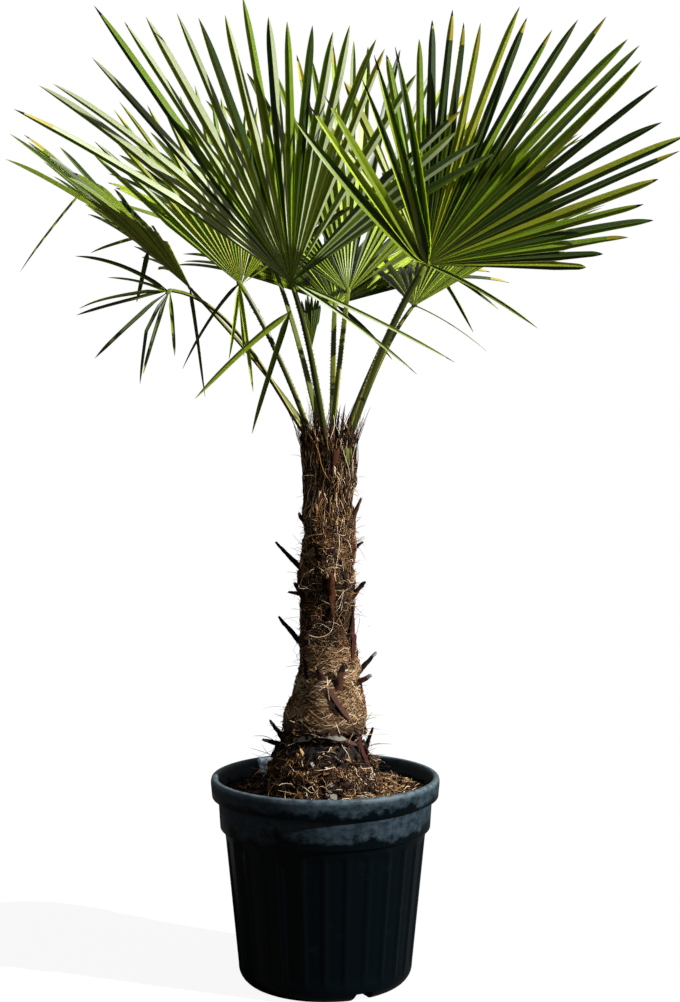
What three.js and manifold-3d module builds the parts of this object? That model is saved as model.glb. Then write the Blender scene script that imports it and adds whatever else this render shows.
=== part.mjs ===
// A windmill palm planted in a round nursery pot.
// Millimetres, +Z up. The pot's axis is the Z axis and its flat underside lies at z = 0.
// The pot, soil, trunk, old leaf bases, leaf stalks and fan blades are each a closed solid of their own.

import * as THREE from 'three';
import Module from 'manifold-3d';

const wasm = await Module();
wasm.setup();

// ---- driving dimensions (mm) ----

const GAP = 0.35;                 // clearance between two pieces that rest on each other

const POT_HEIGHT = 437;
const RIM_RADIUS = 241;           // outside of the rolled rim
const RIM_BAND = 42;              // height of the rim band
const RIM_THICKNESS = 15;
const RIM_EDGE = 6;               // height over which the rim rounds over
const RIM_ROUND = 4;              // how far it rounds in
const COLLAR_RADIUS = 225;        // the second step, under the rim
const COLLAR_BAND = 66;
const COLLAR_ROUND = 4;
const WALL_TOP_RADIUS = 212;      // tapered wall, where it meets the collar
const WALL_FOOT_RADIUS = 184;
const FOOT_RADIUS = 148;          // the flat ring that the pot stands on
const FOOT_CORNER = 38;           // radius of the rounded bottom corner
const WALL = 6;
const FLOOR = 8;
const FLUTES = 28;
const FLUTE_DEPTH = 3;
const NOTCHES = 3;                // drain notches in the bottom corner
const NOTCH_FIRST = -63;          // degrees
const NOTCH_WIDTH = 48;
const NOTCH_TOP_WIDTH = 36;
const NOTCH_HEIGHT = 22;
const NOTCH_DEPTH = 26;

const SOIL_TOP = 402;
const SOIL_PAD_RADIUS = 138;      // level soil under the trunk's flat cut
const SOIL_SLOPE_RADIUS = 178;
const SOIL_SLOPE_DROP = 3;
const SOIL_EDGE_DROP = 7;
const SOIL_ROUGHNESS = 5;

const TRUNK_FOOT = SOIL_TOP + GAP;
const TRUNK_TOP = 1135;
const TRUNK_SIDES = 24;
const TRUNK_LUMPS = 3.2;          // unevenness of the fibre wrapping
const TRUNK_SHOULDER = 6;         // how far the top edge is rounded in
const TRUNK_SHOULDER_HEIGHT = 8;
// [height, radius, sideways lean] of the trunk with its fibre
const TRUNK_PROFILE = [
  [TRUNK_FOOT, 125, -5],
  [440, 115, -5],
  [482, 100, -6],
  [533, 84, -2],
  [575, 77, 1],
  [618, 72, 4],
  [655, 62, 7],
  [720, 55, 6],
  [790, 55, 5],
  [840, 58, 7],
  [900, 53, 5],
  [960, 52, 5],
  [1010, 49, 7],
  [1060, 50, 9],
  [1095, 52, 10],
  [1122, 53, 10],
  [TRUNK_TOP, 49, 10],
];
const SHEATH_RINGS = 11;          // rings left by the wrapping leaf sheaths
const SHEATH_STEP = 4;
const SHEATH_EDGE = 0.1;          // share of a ring taken by its sloping upper edge

const BASE_SUNK = 14;             // how far inside the trunk an old leaf base starts
const BASE_THICKNESS = 0.68;      // beside its width

const STALK_FOOT_WIDTH = 16;
const STALK_FOOT_DEPTH = 11;
const STALK_TOP_WIDTH = 10;
const STALK_TOP_DEPTH = 8;
const STALK_STEPS = 7;
const STALK_NECK = 0.97;          // share of its length where a stalk narrows to the hub
const STALK_TIP_WIDTH = 2.4;
const STALK_TIP_DEPTH = 3;
const STALK_LEAN = 4;             // how far a stalk leans out as it leaves the trunk
const STALK_RISE = 0.34;          // share of its span over which it keeps that lean
const STALK_ARRIVE = 0.3;         // share over which it lines up with the blade
const YOUNG_GIRTH = 0.6;          // beside the other stalks
const STOUT_GIRTH = 1.35;

const BLADE_THICKNESS = 6.6;
const BLADE_TIP_THICKNESS = 5;
const LEAFLET_WIDTH = 27;         // of a free leaflet at its widest
const UNITED = 0.42;              // share of the blade's length in which the leaflets are joined
const PLEAT = 5;                  // depth of the fold along each leaflet
const CLEAR = 1.2;                // kept between a leaflet and any other piece

// ---- the crown ----
// foot: where the stalk leaves the trunk's top. hub: where the leaflets meet. tip: end of the middle leaflet.
// face: the side that looks up. spread: degrees to the left and right of the middle leaflet, seen on that
// side. ends: length of the outermost leaflets beside the middle one. fall: how fast the length drops on its
// way there.
// cup: how far the sides rise out of the blade's plane. sag: how far the tips hang.
// united: where it isn't the usual share of the length in which the leaflets are joined.

const FRONDS = [
  {
    name: 'front_left', foot: [3, -39], hub: [-65, -190, 1461],
    tip: [-328, -462, 1975], face: [-0.1, 0.92, 0.38],
    spread: [95, 28], ends: [0.72, 1.08], fall: [0.75, 1], cup: 0.02, sag: 0.02, leaflets: 29,
  },
  {
    name: 'front_right', foot: [45, -19], hub: [205, -70, 1500],
    tip: [632, -236, 1973], face: [0.2, 0.95, 0.25],
    spread: [50, 84], ends: [0.48, 0.62], fall: [1.6, 0.75], cup: 0.04, sag: 0.02, leaflets: 32,
    girth: STOUT_GIRTH,
  },
  {
    name: 'far_left', foot: [-22, 23], hub: [-280, 60, 1455],
    tip: [-677, 100, 1812], face: [0.64, 0.1, 0.76],
    spread: [72, 72], ends: [0.62, 0.62], fall: [1, 1], cup: 0.08, sag: 0.02, leaflets: 28,
  },
  {
    name: 'left', foot: [-24, -19], hub: [-173, -20, 1462],
    tip: [-486, 30, 1845], face: [0.08, 0.99, 0.01],
    spread: [95, 12], ends: [0.6, 0.92], fall: [1, 1], cup: 0.1, sag: 0.03, leaflets: 24,
  },
  {
    name: 'centre', foot: [14, 9], hub: [48, 140, 1453],
    tip: [131, 360, 2074], face: [0, -0.94, 0.33],
    spread: [66, 50], ends: [0.8, 0.7], fall: [1, 1], cup: 0.1, sag: 0.03, leaflets: 26,
  },
  {
    name: 'right', foot: [48, 8], hub: [184, 50, 1420],
    tip: [610, 295, 1715], face: [-0.45, -0.27, 0.85],
    spread: [68, 22], ends: [0.75, 0.8], fall: [1, 1], cup: 0.1, sag: 0.05, leaflets: 22,
  },
  {
    name: 'back_left', foot: [-6, 36], hub: [-110, 240, 1500],
    tip: [-330, 640, 1910], face: [0.34, -0.57, 0.74],
    spread: [60, 46], ends: [0.66, 0.8], fall: [1, 1], cup: 0.12, sag: 0.04, leaflets: 22,
  },
  {
    name: 'back_right', foot: [36, 30], hub: [220, 240, 1530],
    tip: [480, 590, 1935], face: [-0.45, -0.5, 0.73],
    spread: [62, 40], ends: [0.76, 0.76], fall: [1, 1], cup: 0.12, sag: 0.04, leaflets: 22,
  },
  {
    name: 'back', foot: [15, 40], hub: [20, 300, 1430],
    tip: [60, 860, 1720], face: [0, -0.46, 0.89],
    spread: [66, 66], ends: [0.7, 0.7], fall: [1, 1], cup: 0.12, sag: 0.06, leaflets: 28,
  },
  {
    name: 'low_left', foot: [-29, 2], hub: [-322, 15, 1452],
    tip: [-487, -60, 1306], face: [-0.3, -0.8, 0.5],
    spread: [60, 62], ends: [0.8, 0.85], fall: [1, 1], cup: 0.06, sag: 0.03, united: 0.2, leaflets: 11,
  },
  {
    name: 'young', foot: [-1, -12], hub: [-28, -90, 1324],
    tip: [-25, -110, 1449], face: [0, 0.99, 0.16],
    spread: [12, 12], ends: [0.85, 0.85], fall: [1, 1], cup: 0, sag: 0, leaflets: 7,
    girth: YOUNG_GIRTH,
  },
];

// Old leaf bases that stand out of the trunk: [height, bearing in degrees, length, width, rise in degrees].
const LEAF_BASES = [
  [947, 176, 38, 17, 55],
  [864, 176, 76, 15, 42],
  [796, -162, 46, 16, 60],
  [816, 166, 28, 13, 8],
  [698, -174, 84, 18, 50],
  [506, 174, 42, 17, 52],
  [503, -164, 38, 15, 20],
  [937, -14, 80, 15, 68],
  [904, 6, 26, 14, 38],
  [800, -10, 48, 19, 50],
  [640, 12, 62, 15, 48],
  [629, -20, 36, 19, 30],
  [474, 2, 52, 15, 70],
  [796, -82, 68, 20, 64],
  [612, -68, 62, 21, 66],
  [985, 84, 44, 15, 60],
  [905, 118, 48, 16, 50],
  [868, 58, 46, 15, 52],
  [770, 92, 54, 17, 48],
  [700, 130, 48, 16, 46],
  [655, 70, 52, 17, 42],
  [560, 112, 50, 18, 36],
];

const COLOURS = {
  pot: 0x161d22,
  soil: 0x3b2c1f,
  trunk: 0x6a5238,
  leafBase: 0x5a3f2a,
  stalk: 0x6e8b35,
  blade: 0x42681f,
  youngBlade: 0x2c4a18,
};

// ---- small helpers ----

const radians = THREE.MathUtils.degToRad;

// A repeatable value from 0 to 1 for the pair (i, j).
function chance(i, j) {
  const wave = Math.sin(i * 12.9898 + j * 78.233) * 43758.5453;
  return wave - Math.floor(wave);
}

function geometryOf(points, triangles) {
  const geometry = new THREE.BufferGeometry();
  const values = points.flatMap((p) => [p.x, p.y, p.z]);
  geometry.setAttribute('position', new THREE.Float32BufferAttribute(values, 3));
  geometry.setIndex(triangles.flat());
  return geometry;
}

// Turns a closed surface inside out when its faces point inwards.
function facingOut(points, triangles) {
  let volume = 0;
  for (const [a, b, c] of triangles) {
    volume += points[a].dot(new THREE.Vector3().crossVectors(points[b], points[c]));
  }
  return geometryOf(points, volume < 0 ? triangles.map(([a, b, c]) => [a, c, b]) : triangles);
}

// A closed skin over rings of equal length. A centre point closes each end.
function loft(rings) {
  const sides = rings[0].length;
  const points = rings.flat();
  const triangles = [];
  for (let k = 0; k + 1 < rings.length; k += 1) {
    for (let i = 0; i < sides; i += 1) {
      const a = k * sides + i;
      const b = k * sides + ((i + 1) % sides);
      triangles.push([a, b, b + sides], [a, b + sides, a + sides]);
    }
  }
  for (const [ring, start] of [[rings[0], 0], [rings.at(-1), (rings.length - 1) * sides]]) {
    const centre = ring.reduce((sum, p) => sum.add(p), new THREE.Vector3()).divideScalar(sides);
    const hub = points.push(centre) - 1;
    for (let i = 0; i < sides; i += 1) {
      const j = (i + 1) % sides;
      triangles.push(start === 0 ? [hub, start + j, start + i] : [hub, start + i, start + j]);
    }
  }
  return facingOut(points, triangles);
}

// A ring round the Z axis whose radius is a function of the bearing.
function level(z, radiusAt, sides, shift = 0) {
  return Array.from({ length: sides }, (_, i) => {
    const bearing = (i / sides) * Math.PI * 2;
    const r = radiusAt(bearing, i);
    return new THREE.Vector3(shift + r * Math.cos(bearing), r * Math.sin(bearing), z);
  });
}

function solidOf(geometry) {
  return new wasm.Manifold(new wasm.Mesh({
    numProp: 3,
    vertProperties: new Float32Array(geometry.getAttribute('position').array),
    triVerts: new Uint32Array(geometry.getIndex().array),
  }));
}

function geometryFrom(solid) {
  const { vertProperties, triVerts } = solid.getMesh();
  const geometry = new THREE.BufferGeometry();
  geometry.setAttribute('position', new THREE.BufferAttribute(new Float32Array(vertProperties), 3));
  geometry.setIndex(new THREE.BufferAttribute(new Uint32Array(triVerts), 1));
  return geometry;
}

function between(table, z, column) {
  const upper = table.findIndex((row) => row[0] >= z);
  if (upper <= 0) return table[upper === 0 ? 0 : table.length - 1][column];
  const [low, high] = [table[upper - 1], table[upper]];
  return THREE.MathUtils.mapLinear(z, low[0], high[0], low[column], high[column]);
}

// ---- the pot ----

// The inside of the pot's wall, from the rim down to the floor: [height, radius].
const POT_LINING = [
  [POT_HEIGHT - RIM_EDGE, RIM_RADIUS - RIM_THICKNESS],
  [POT_HEIGHT - RIM_BAND - WALL, COLLAR_RADIUS - WALL],
  [POT_HEIGHT - RIM_BAND - COLLAR_BAND - WALL, WALL_TOP_RADIUS - WALL],
  [FLOOR + FOOT_CORNER * 0.6, WALL_FOOT_RADIUS - WALL - FLUTE_DEPTH],
  [FLOOR, FOOT_RADIUS],
];

function potWall() {
  const sides = FLUTES * 2;
  const round = (r) => () => r;
  const fluted = (r) => (bearing, i) => r - (i % 2) * FLUTE_DEPTH;
  const rimFoot = POT_HEIGHT - RIM_BAND;
  const collarFoot = rimFoot - COLLAR_BAND;
  const wallFoot = FOOT_CORNER;
  const cornerAt = (turn) => [
    FOOT_RADIUS + (WALL_FOOT_RADIUS - FOOT_RADIUS) * Math.sin(turn),
    FOOT_CORNER * (1 - Math.cos(turn)),
  ];
  const corner = [0.35, 0.75, 1.15].map(cornerAt);
  const wallAt = (share) => THREE.MathUtils.lerp(WALL_FOOT_RADIUS, WALL_TOP_RADIUS, share);
  const wallHeight = (share) => THREE.MathUtils.lerp(wallFoot, collarFoot - 6, share);
  return loft([
    level(0, round(FOOT_RADIUS), sides),
    ...corner.map(([r, z]) => level(z, round(r), sides)),
    level(wallFoot, fluted(WALL_FOOT_RADIUS), sides),
    level(wallHeight(0.5), fluted(wallAt(0.5)), sides),
    level(wallHeight(0.93), fluted(wallAt(0.93)), sides),
    level(wallHeight(1), round(WALL_TOP_RADIUS), sides),
    level(collarFoot, round(COLLAR_RADIUS - COLLAR_ROUND), sides),
    level(rimFoot, round(COLLAR_RADIUS), sides),
    level(rimFoot, round(RIM_RADIUS - RIM_ROUND), sides),
    level(POT_HEIGHT - RIM_EDGE, round(RIM_RADIUS), sides),
    level(POT_HEIGHT, round(RIM_RADIUS - RIM_ROUND), sides),
    level(POT_HEIGHT, round(RIM_RADIUS - RIM_THICKNESS + RIM_ROUND / 2), sides),
    ...POT_LINING.map(([z, r]) => level(z, round(r), sides)),
  ]);
}

function drainNotch(bearing) {
  const outline = new THREE.Shape([
    new THREE.Vector2(-NOTCH_WIDTH / 2, -2),
    new THREE.Vector2(NOTCH_WIDTH / 2, -2),
    new THREE.Vector2(NOTCH_TOP_WIDTH / 2, NOTCH_HEIGHT),
    new THREE.Vector2(-NOTCH_TOP_WIDTH / 2, NOTCH_HEIGHT),
  ]);
  const reach = WALL_FOOT_RADIUS - FOOT_RADIUS + NOTCH_DEPTH;
  const geometry = new THREE.ExtrudeGeometry(outline, { depth: reach, bevelEnabled: false, steps: 1 });
  geometry.rotateX(Math.PI / 2);
  geometry.rotateZ(Math.PI / 2);
  geometry.translate(FOOT_RADIUS - NOTCH_DEPTH, 0, 0);
  geometry.rotateZ(bearing);
  return solidOf(welded(geometry));
}

// A copy whose shared corners are one vertex each.
function welded(geometry) {
  const position = geometry.getAttribute('position');
  const seen = new Map();
  const points = [];
  const triangles = [];
  const place = (i) => {
    const p = new THREE.Vector3().fromBufferAttribute(position, i);
    const key = p.toArray().map((value) => value.toFixed(3)).join();
    if (!seen.has(key)) seen.set(key, points.push(p) - 1);
    return seen.get(key);
  };
  const count = geometry.index ? geometry.index.count : position.count;
  for (let i = 0; i < count; i += 3) {
    triangles.push([0, 1, 2].map((k) => place(geometry.index ? geometry.index.getX(i + k) : i + k)));
  }
  return facingOut(points, triangles);
}

function pot() {
  let body = solidOf(potWall());
  for (let i = 0; i < NOTCHES; i += 1) {
    body = body.subtract(drainNotch(radians(NOTCH_FIRST + (i * 360) / NOTCHES)));
  }
  return geometryFrom(body);
}

// ---- soil ----

// Soil fills the pot's lining, rough on top and level where the trunk stands.
function soil() {
  const sides = FLUTES * 2;
  const ring = (z, r) => level(z, () => r, sides);
  const rough = (z, r) => ring(z, r).map((p, i) => {
    p.z += (chance(i, r) - 0.5) * SOIL_ROUGHNESS;
    return p;
  });
  const lining = POT_LINING.slice(1).reverse();
  const edge = lining.at(-1)[1] - GAP;
  return loft([
    ...lining.map(([z, r], i) => ring(i === 0 ? z + GAP : z, r - GAP * 1.4)),
    rough(SOIL_TOP - SOIL_EDGE_DROP, edge),
    rough(SOIL_TOP - SOIL_SLOPE_DROP, SOIL_SLOPE_RADIUS),
    ring(SOIL_TOP, SOIL_PAD_RADIUS),
  ]);
}

// ---- trunk and old leaf bases ----

// The trunk's radius: the profile, a small step at each sheath ring, and the lumps of the fibre.
function trunkRadius(z, bearing, grown = 0) {
  const share = (z - TRUNK_FOOT) / (TRUNK_TOP - TRUNK_FOOT);
  const sheath = (share * SHEATH_RINGS) % 1;
  const lumps = Math.sin(bearing * 3 + z / 47) + Math.sin(bearing * 5 - z / 31) * 0.6;
  return between(TRUNK_PROFILE, z, 1) + SHEATH_STEP * (sheath - 0.5) + TRUNK_LUMPS * lumps + grown;
}

function trunk(grown = 0) {
  const rows = SHEATH_RINGS * 2;
  const heights = [TRUNK_FOOT];
  for (let k = 1; k < rows; k += 1) {
    heights.push(THREE.MathUtils.lerp(TRUNK_FOOT, TRUNK_TOP, (k - (k % 2) * SHEATH_EDGE) / rows));
  }
  heights.push(TRUNK_TOP - TRUNK_SHOULDER_HEIGHT, TRUNK_TOP);
  return loft(heights.map((z) => level(
    z,
    (bearing) => trunkRadius(z, bearing, grown) - (z === TRUNK_TOP ? TRUNK_SHOULDER : 0),
    TRUNK_SIDES,
    between(TRUNK_PROFILE, z, 2),
  )));
}

// One broken leaf base: a flattened, tapering stub that starts inside the trunk and rises out of it.
function leafBase([z, bearingDegrees, length, width, rise], trunkCut) {
  const bearing = radians(bearingDegrees);
  const out = new THREE.Vector3(Math.cos(bearing), Math.sin(bearing), 0);
  const up = new THREE.Vector3(0, 0, 1);
  const climb = radians(rise);
  const along = out.clone().multiplyScalar(Math.cos(climb)).addScaledVector(up, Math.sin(climb));
  const across = new THREE.Vector3().crossVectors(up, out);
  const over = new THREE.Vector3().crossVectors(along, across);
  const root = out.clone().multiplyScalar(trunkRadius(z, bearing) - BASE_SUNK).setZ(z);
  root.x += between(TRUNK_PROFILE, z, 2);
  const section = [[-1, 0], [-0.55, 0.8], [0.55, 0.8], [1, 0], [0, -0.6]];
  const ringAt = (share, half, bend) => section.map(([u, v]) => root.clone()
    .addScaledVector(along, share * (length + BASE_SUNK))
    .addScaledVector(across, u * half)
    .addScaledVector(over, v * half * BASE_THICKNESS + bend));
  const half = width / 2;
  const stub = loft([
    ringAt(0, half, 0),
    ringAt(0.45, half * 0.86, 1),
    ringAt(0.8, half * 0.62, 0),
    ringAt(1, half * 0.42, -2),
  ]);
  const parts = solidOf(stub).subtract(trunkCut).decompose();
  parts.sort((a, b) => b.volume() - a.volume());
  return geometryFrom(parts[0]);
}

// ---- leaf stalks ----

function bladeFrame(frond) {
  const hub = new THREE.Vector3(...frond.hub);
  const middle = new THREE.Vector3(...frond.tip).sub(hub);
  const reach = middle.length();
  middle.divideScalar(reach);
  const face = new THREE.Vector3(...frond.face);
  face.addScaledVector(middle, -face.dot(middle)).normalize();
  const side = new THREE.Vector3().crossVectors(face, middle);
  return { hub, middle, side, face, reach };
}

// A stalk rises from the trunk's top, swings out and arrives at the hub along the blade's middle.
function stalkPath(frond) {
  const { hub, middle } = bladeFrame(frond);
  const foot = new THREE.Vector3(frond.foot[0], frond.foot[1], TRUNK_TOP + GAP);
  const end = hub.clone().addScaledVector(middle, -CLEAR / 2);
  const chord = new THREE.Vector3().subVectors(end, foot);
  const span = chord.length();
  const arrive = chord.clone().normalize().add(middle).normalize();
  const leave = new THREE.Vector3(0, 0, 1).addScaledVector(chord, STALK_LEAN / span).normalize();
  return new THREE.CubicBezierCurve3(
    foot,
    foot.clone().addScaledVector(leave, span * STALK_RISE),
    end.clone().addScaledVector(arrive, -span * STALK_ARRIVE),
    end,
  );
}

function stalk(frond) {
  const path = stalkPath(frond);
  const { side } = bladeFrame(frond);
  const up = new THREE.Vector3(0, 0, 1);
  const footOut = new THREE.Vector3(frond.foot[0], frond.foot[1], 0).normalize();
  const footSide = new THREE.Vector3().crossVectors(up, footOut);
  if (footSide.dot(side) < 0) footSide.negate();
  const girth = frond.girth ?? 1;
  const section = [[-1, 0.1], [-0.5, 1], [0.5, 1], [1, 0.1], [0.45, -0.9], [-0.45, -0.9]];
  const ringAt = (share, width, depth) => {
    const centre = path.getPoint(share);
    const along = share === 0 ? up : path.getTangent(share);
    const across = footSide.clone().lerp(side, share);
    across.addScaledVector(along, -across.dot(along)).normalize();
    const over = new THREE.Vector3().crossVectors(along, across);
    return section.map(([u, v]) => centre.clone()
      .addScaledVector(across, (u * width * girth) / 2)
      .addScaledVector(over, (v * depth * girth) / 2));
  };
  const rings = [];
  for (let k = 0; k < STALK_STEPS; k += 1) {
    const share = (k / STALK_STEPS) * STALK_NECK;
    const taper = Math.sqrt(share);
    rings.push(ringAt(
      share,
      THREE.MathUtils.lerp(STALK_FOOT_WIDTH, STALK_TOP_WIDTH, taper),
      THREE.MathUtils.lerp(STALK_FOOT_DEPTH, STALK_TOP_DEPTH, taper),
    ));
  }
  rings.push(ringAt(STALK_NECK, STALK_TOP_WIDTH, STALK_TOP_DEPTH * 0.8));
  rings.push(ringAt(1, STALK_TIP_WIDTH / girth, STALK_TIP_DEPTH / girth));
  return loft(rings);
}

// ---- fan blades ----

// A point of the blade: r out from the hub at angle phi from the middle leaflet.
function bladePoint(frond, frame, r, phi) {
  const share = r / frame.reach;
  const lateral = Math.sin(phi) ** 2;
  return frame.hub.clone()
    .addScaledVector(frame.middle, r * Math.cos(phi))
    .addScaledVector(frame.side, r * Math.sin(phi))
    .addScaledVector(frame.face, r * frond.cup * lateral)
    .addScaledVector(new THREE.Vector3(0, 0, -1), frond.sag * r * share * share * (1 + 2 * lateral));
}

// Angle and full length of leaflet i. Lengths fall from the middle leaflet to the outermost ones.
function leafletPlan(frond, frame, i) {
  const [left, right] = frond.spread;
  const at = (place) => radians(THREE.MathUtils.lerp(-right, left, place / frond.leaflets));
  const phi = at(i + 0.5);
  const k = phi > 0 ? 0 : 1;
  const outward = Math.abs(phi) / radians(frond.spread[k]);
  const fall = (1 - frond.ends[k]) * outward ** frond.fall[k];
  const uneven = 1 - 0.07 * chance(i, frond.leaflets + frond.hub[0]);
  return { low: at(i), phi, high: at(i + 1), length: frame.reach * (1 - fall) * uneven };
}

// A blade from leaflet `first` up to `last`, as one closed pleated sheet. reaches[i] is the length of
// leaflet i.
function blade(frond, reaches, first, last, extra = 0) {
  const frame = bladeFrame(frond);
  const points = [];
  const triangles = [];
  const united = frame.reach * (frond.united ?? UNITED);
  const pair = (r, phi, thickness, lift) => {
    const middle = bladePoint(frond, frame, r, phi).addScaledVector(frame.face, lift);
    const half = thickness / 2 + extra;
    const top = points.push(middle.clone().addScaledVector(frame.face, half)) - 1;
    const under = points.push(middle.clone().addScaledVector(frame.face, -half)) - 1;
    return [top, under];
  };
  const skin = (a, b, c) => triangles.push([a[0], b[0], c[0]], [a[1], c[1], b[1]]);
  const edge = (a, b) => triangles.push([a[1], b[1], b[0]], [a[1], b[0], a[0]]);
  const hub = pair(0, 0, BLADE_THICKNESS, 0);
  const cutAt = (j) => {
    const reach = Math.min(reaches[j - 1] ?? Infinity, reaches[j] ?? Infinity);
    return Math.min(united * (0.94 + 0.12 * chance(j, 4)), reach);
  };
  const valley = (j) => {
    const phi = j < frond.leaflets ? leafletPlan(frond, frame, j).low : leafletPlan(frond, frame, j - 1).high;
    return pair(cutAt(j), phi, BLADE_THICKNESS, PLEAT / 2);
  };
  let left = valley(first);
  edge(hub, left);
  for (let i = first; i < last; i += 1) {
    const plan = leafletPlan(frond, frame, i);
    const reach = reaches[i];
    const right = valley(i + 1);
    const ridge = pair(Math.min(united, reach), plan.phi, BLADE_THICKNESS, -PLEAT / 2);
    skin(hub, left, ridge);
    skin(hub, ridge, right);
    if (reach > united * 1.15) {
      const r = THREE.MathUtils.lerp(united, reach, 0.4);
      const widest = Math.min(LEAFLET_WIDTH, frame.reach * UNITED * (plan.high - plan.low) * 1.05);
      const turn = widest / 2 / r;
      const near = pair(r, plan.phi - turn, BLADE_TIP_THICKNESS, PLEAT / 2);
      const fold = pair(r, plan.phi, BLADE_TIP_THICKNESS, -PLEAT / 2);
      const far = pair(r, plan.phi + turn, BLADE_TIP_THICKNESS, PLEAT / 2);
      const end = points.push(bladePoint(frond, frame, reach, plan.phi)) - 1;
      skin(left, near, ridge);
      skin(ridge, near, fold);
      skin(ridge, fold, right);
      skin(right, fold, far);
      skin(near, [end, end], fold);
      skin(fold, [end, end], far);
      edge(left, near);
      triangles.push([near[1], end, near[0]]);
      triangles.push([end, far[1], far[0]]);
      edge(far, right);
    } else {
      edge(left, ridge);
      edge(ridge, right);
    }
    left = right;
  }
  edge(left, hub);
  return facingOut(points, triangles);
}

// Shortens each leaflet of a frond until it clears everything in `taken`.
function clearReaches(frond, taken) {
  const frame = bladeFrame(frond);
  const shares = [1, 0.88, 0.76, 0.64, 0.52, 0.42, 0.34, 0.26, 0.18];
  return Array.from({ length: frond.leaflets }, (_, i) => {
    const { length } = leafletPlan(frond, frame, i);
    const free = shares.find((share) => {
      const reaches = [];
      reaches[i] = length * share;
      const trial = solidOf(blade(frond, reaches, i, i + 1, CLEAR));
      return taken.every((other) => trial.intersect(other).isEmpty());
    });
    return length * (free ?? shares.at(-1));
  });
}

// ---- the plant ----

function named(name, geometry, color, roughness) {
  const material = new THREE.MeshStandardMaterial({ color, roughness, metalness: 0 });
  const mesh = new THREE.Mesh(geometry, material);
  mesh.name = name;
  return mesh;
}

const plant = new THREE.Group();
plant.add(named('pot', pot(), COLOURS.pot, 0.45));
plant.add(named('soil', soil(), COLOURS.soil, 0.95));
plant.add(named('trunk', trunk(), COLOURS.trunk, 0.95));

const trunkCut = solidOf(trunk(GAP));
LEAF_BASES.forEach((row, i) => {
  const name = `leaf_base_${String(i + 1).padStart(2, '0')}`;
  plant.add(named(name, leafBase(row, trunkCut), COLOURS.leafBase, 0.85));
});

const stalks = FRONDS.map((frond) => stalk(frond));
const taken = [trunkCut, ...stalks.map((geometry) => solidOf(geometry))];
FRONDS.forEach((frond, i) => {
  const ownStalk = taken[i + 1];
  const reaches = clearReaches(frond, taken.filter((other) => other !== ownStalk));
  const geometry = blade(frond, reaches, 0, frond.leaflets);
  taken.push(solidOf(geometry));
  plant.add(named(`stalk_${frond.name}`, stalks[i], COLOURS.stalk, 0.5));
  const color = frond.name === 'young' ? COLOURS.youngBlade : COLOURS.blade;
  plant.add(named(`blade_${frond.name}`, geometry, color, 0.5));
});

export default plant;
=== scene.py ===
import math

import bpy
import numpy as np
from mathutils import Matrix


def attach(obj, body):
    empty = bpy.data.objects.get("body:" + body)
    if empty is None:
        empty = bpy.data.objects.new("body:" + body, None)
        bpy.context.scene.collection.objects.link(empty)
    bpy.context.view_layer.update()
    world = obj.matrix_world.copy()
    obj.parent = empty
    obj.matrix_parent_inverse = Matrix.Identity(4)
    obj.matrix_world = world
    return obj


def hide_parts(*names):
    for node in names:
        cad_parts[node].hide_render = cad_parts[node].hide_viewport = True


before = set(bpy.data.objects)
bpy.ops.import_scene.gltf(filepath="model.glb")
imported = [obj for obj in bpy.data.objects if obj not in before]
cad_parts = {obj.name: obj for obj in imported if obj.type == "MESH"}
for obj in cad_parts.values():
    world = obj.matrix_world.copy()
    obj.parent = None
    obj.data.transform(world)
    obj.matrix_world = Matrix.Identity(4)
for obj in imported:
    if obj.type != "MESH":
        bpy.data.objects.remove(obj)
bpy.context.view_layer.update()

MM = 0.001
TAU = 2 * math.pi

# ---- sizes, in mm, as in the part's source ----
GAP = 0.35
POT_HEIGHT, RIM_RADIUS, RIM_BAND, RIM_THICKNESS = 437, 241, 42, 15
COLLAR_RADIUS, COLLAR_BAND = 225, 66
WALL_TOP_RADIUS, WALL_FOOT_RADIUS, FOOT_RADIUS, FOOT_CORNER = 212, 184, 148, 38
WALL, FLOOR = 6, 8
FLUTES, FLUTE_DEPTH = 28, 3
NOTCHES, NOTCH_FIRST = 3, -63
NOTCH_WIDTH, NOTCH_TOP_WIDTH, NOTCH_HEIGHT, NOTCH_DEPTH = 48, 36, 22, 26
SOIL_TOP = 402
RIM_FOOT = POT_HEIGHT - RIM_BAND
COLLAR_FOOT = RIM_FOOT - COLLAR_BAND
TRUNK_FOOT, TRUNK_TOP = 402.35, 1135
SHEATH_RINGS, SHEATH_STEP, TRUNK_LUMPS = 11, 4, 3.2
STALK_FOOT, STALK_TOP = (16, 11), (10, 8)
STALK_LEAN, STALK_RISE, STALK_ARRIVE = 4, 0.34, 0.3
STALK_SUNK, TEETH = 300.0, 36
LEAFLET_WIDTH, UNITED = 27, 0.42

# Height, radius and lean of the trunk.
TRUNK_PROFILE = np.array([
    (TRUNK_FOOT, 125, -5), (440, 115, -5), (482, 100, -6), (533, 84, -2), (575, 77, 1), (618, 72, 4),
    (655, 62, 7), (720, 55, 6), (790, 55, 5), (840, 58, 7), (900, 53, 5), (960, 52, 5), (1010, 49, 7),
    (1060, 50, 9), (1095, 52, 10), (1122, 53, 10), (TRUNK_TOP, 49, 10),
], float)

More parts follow.
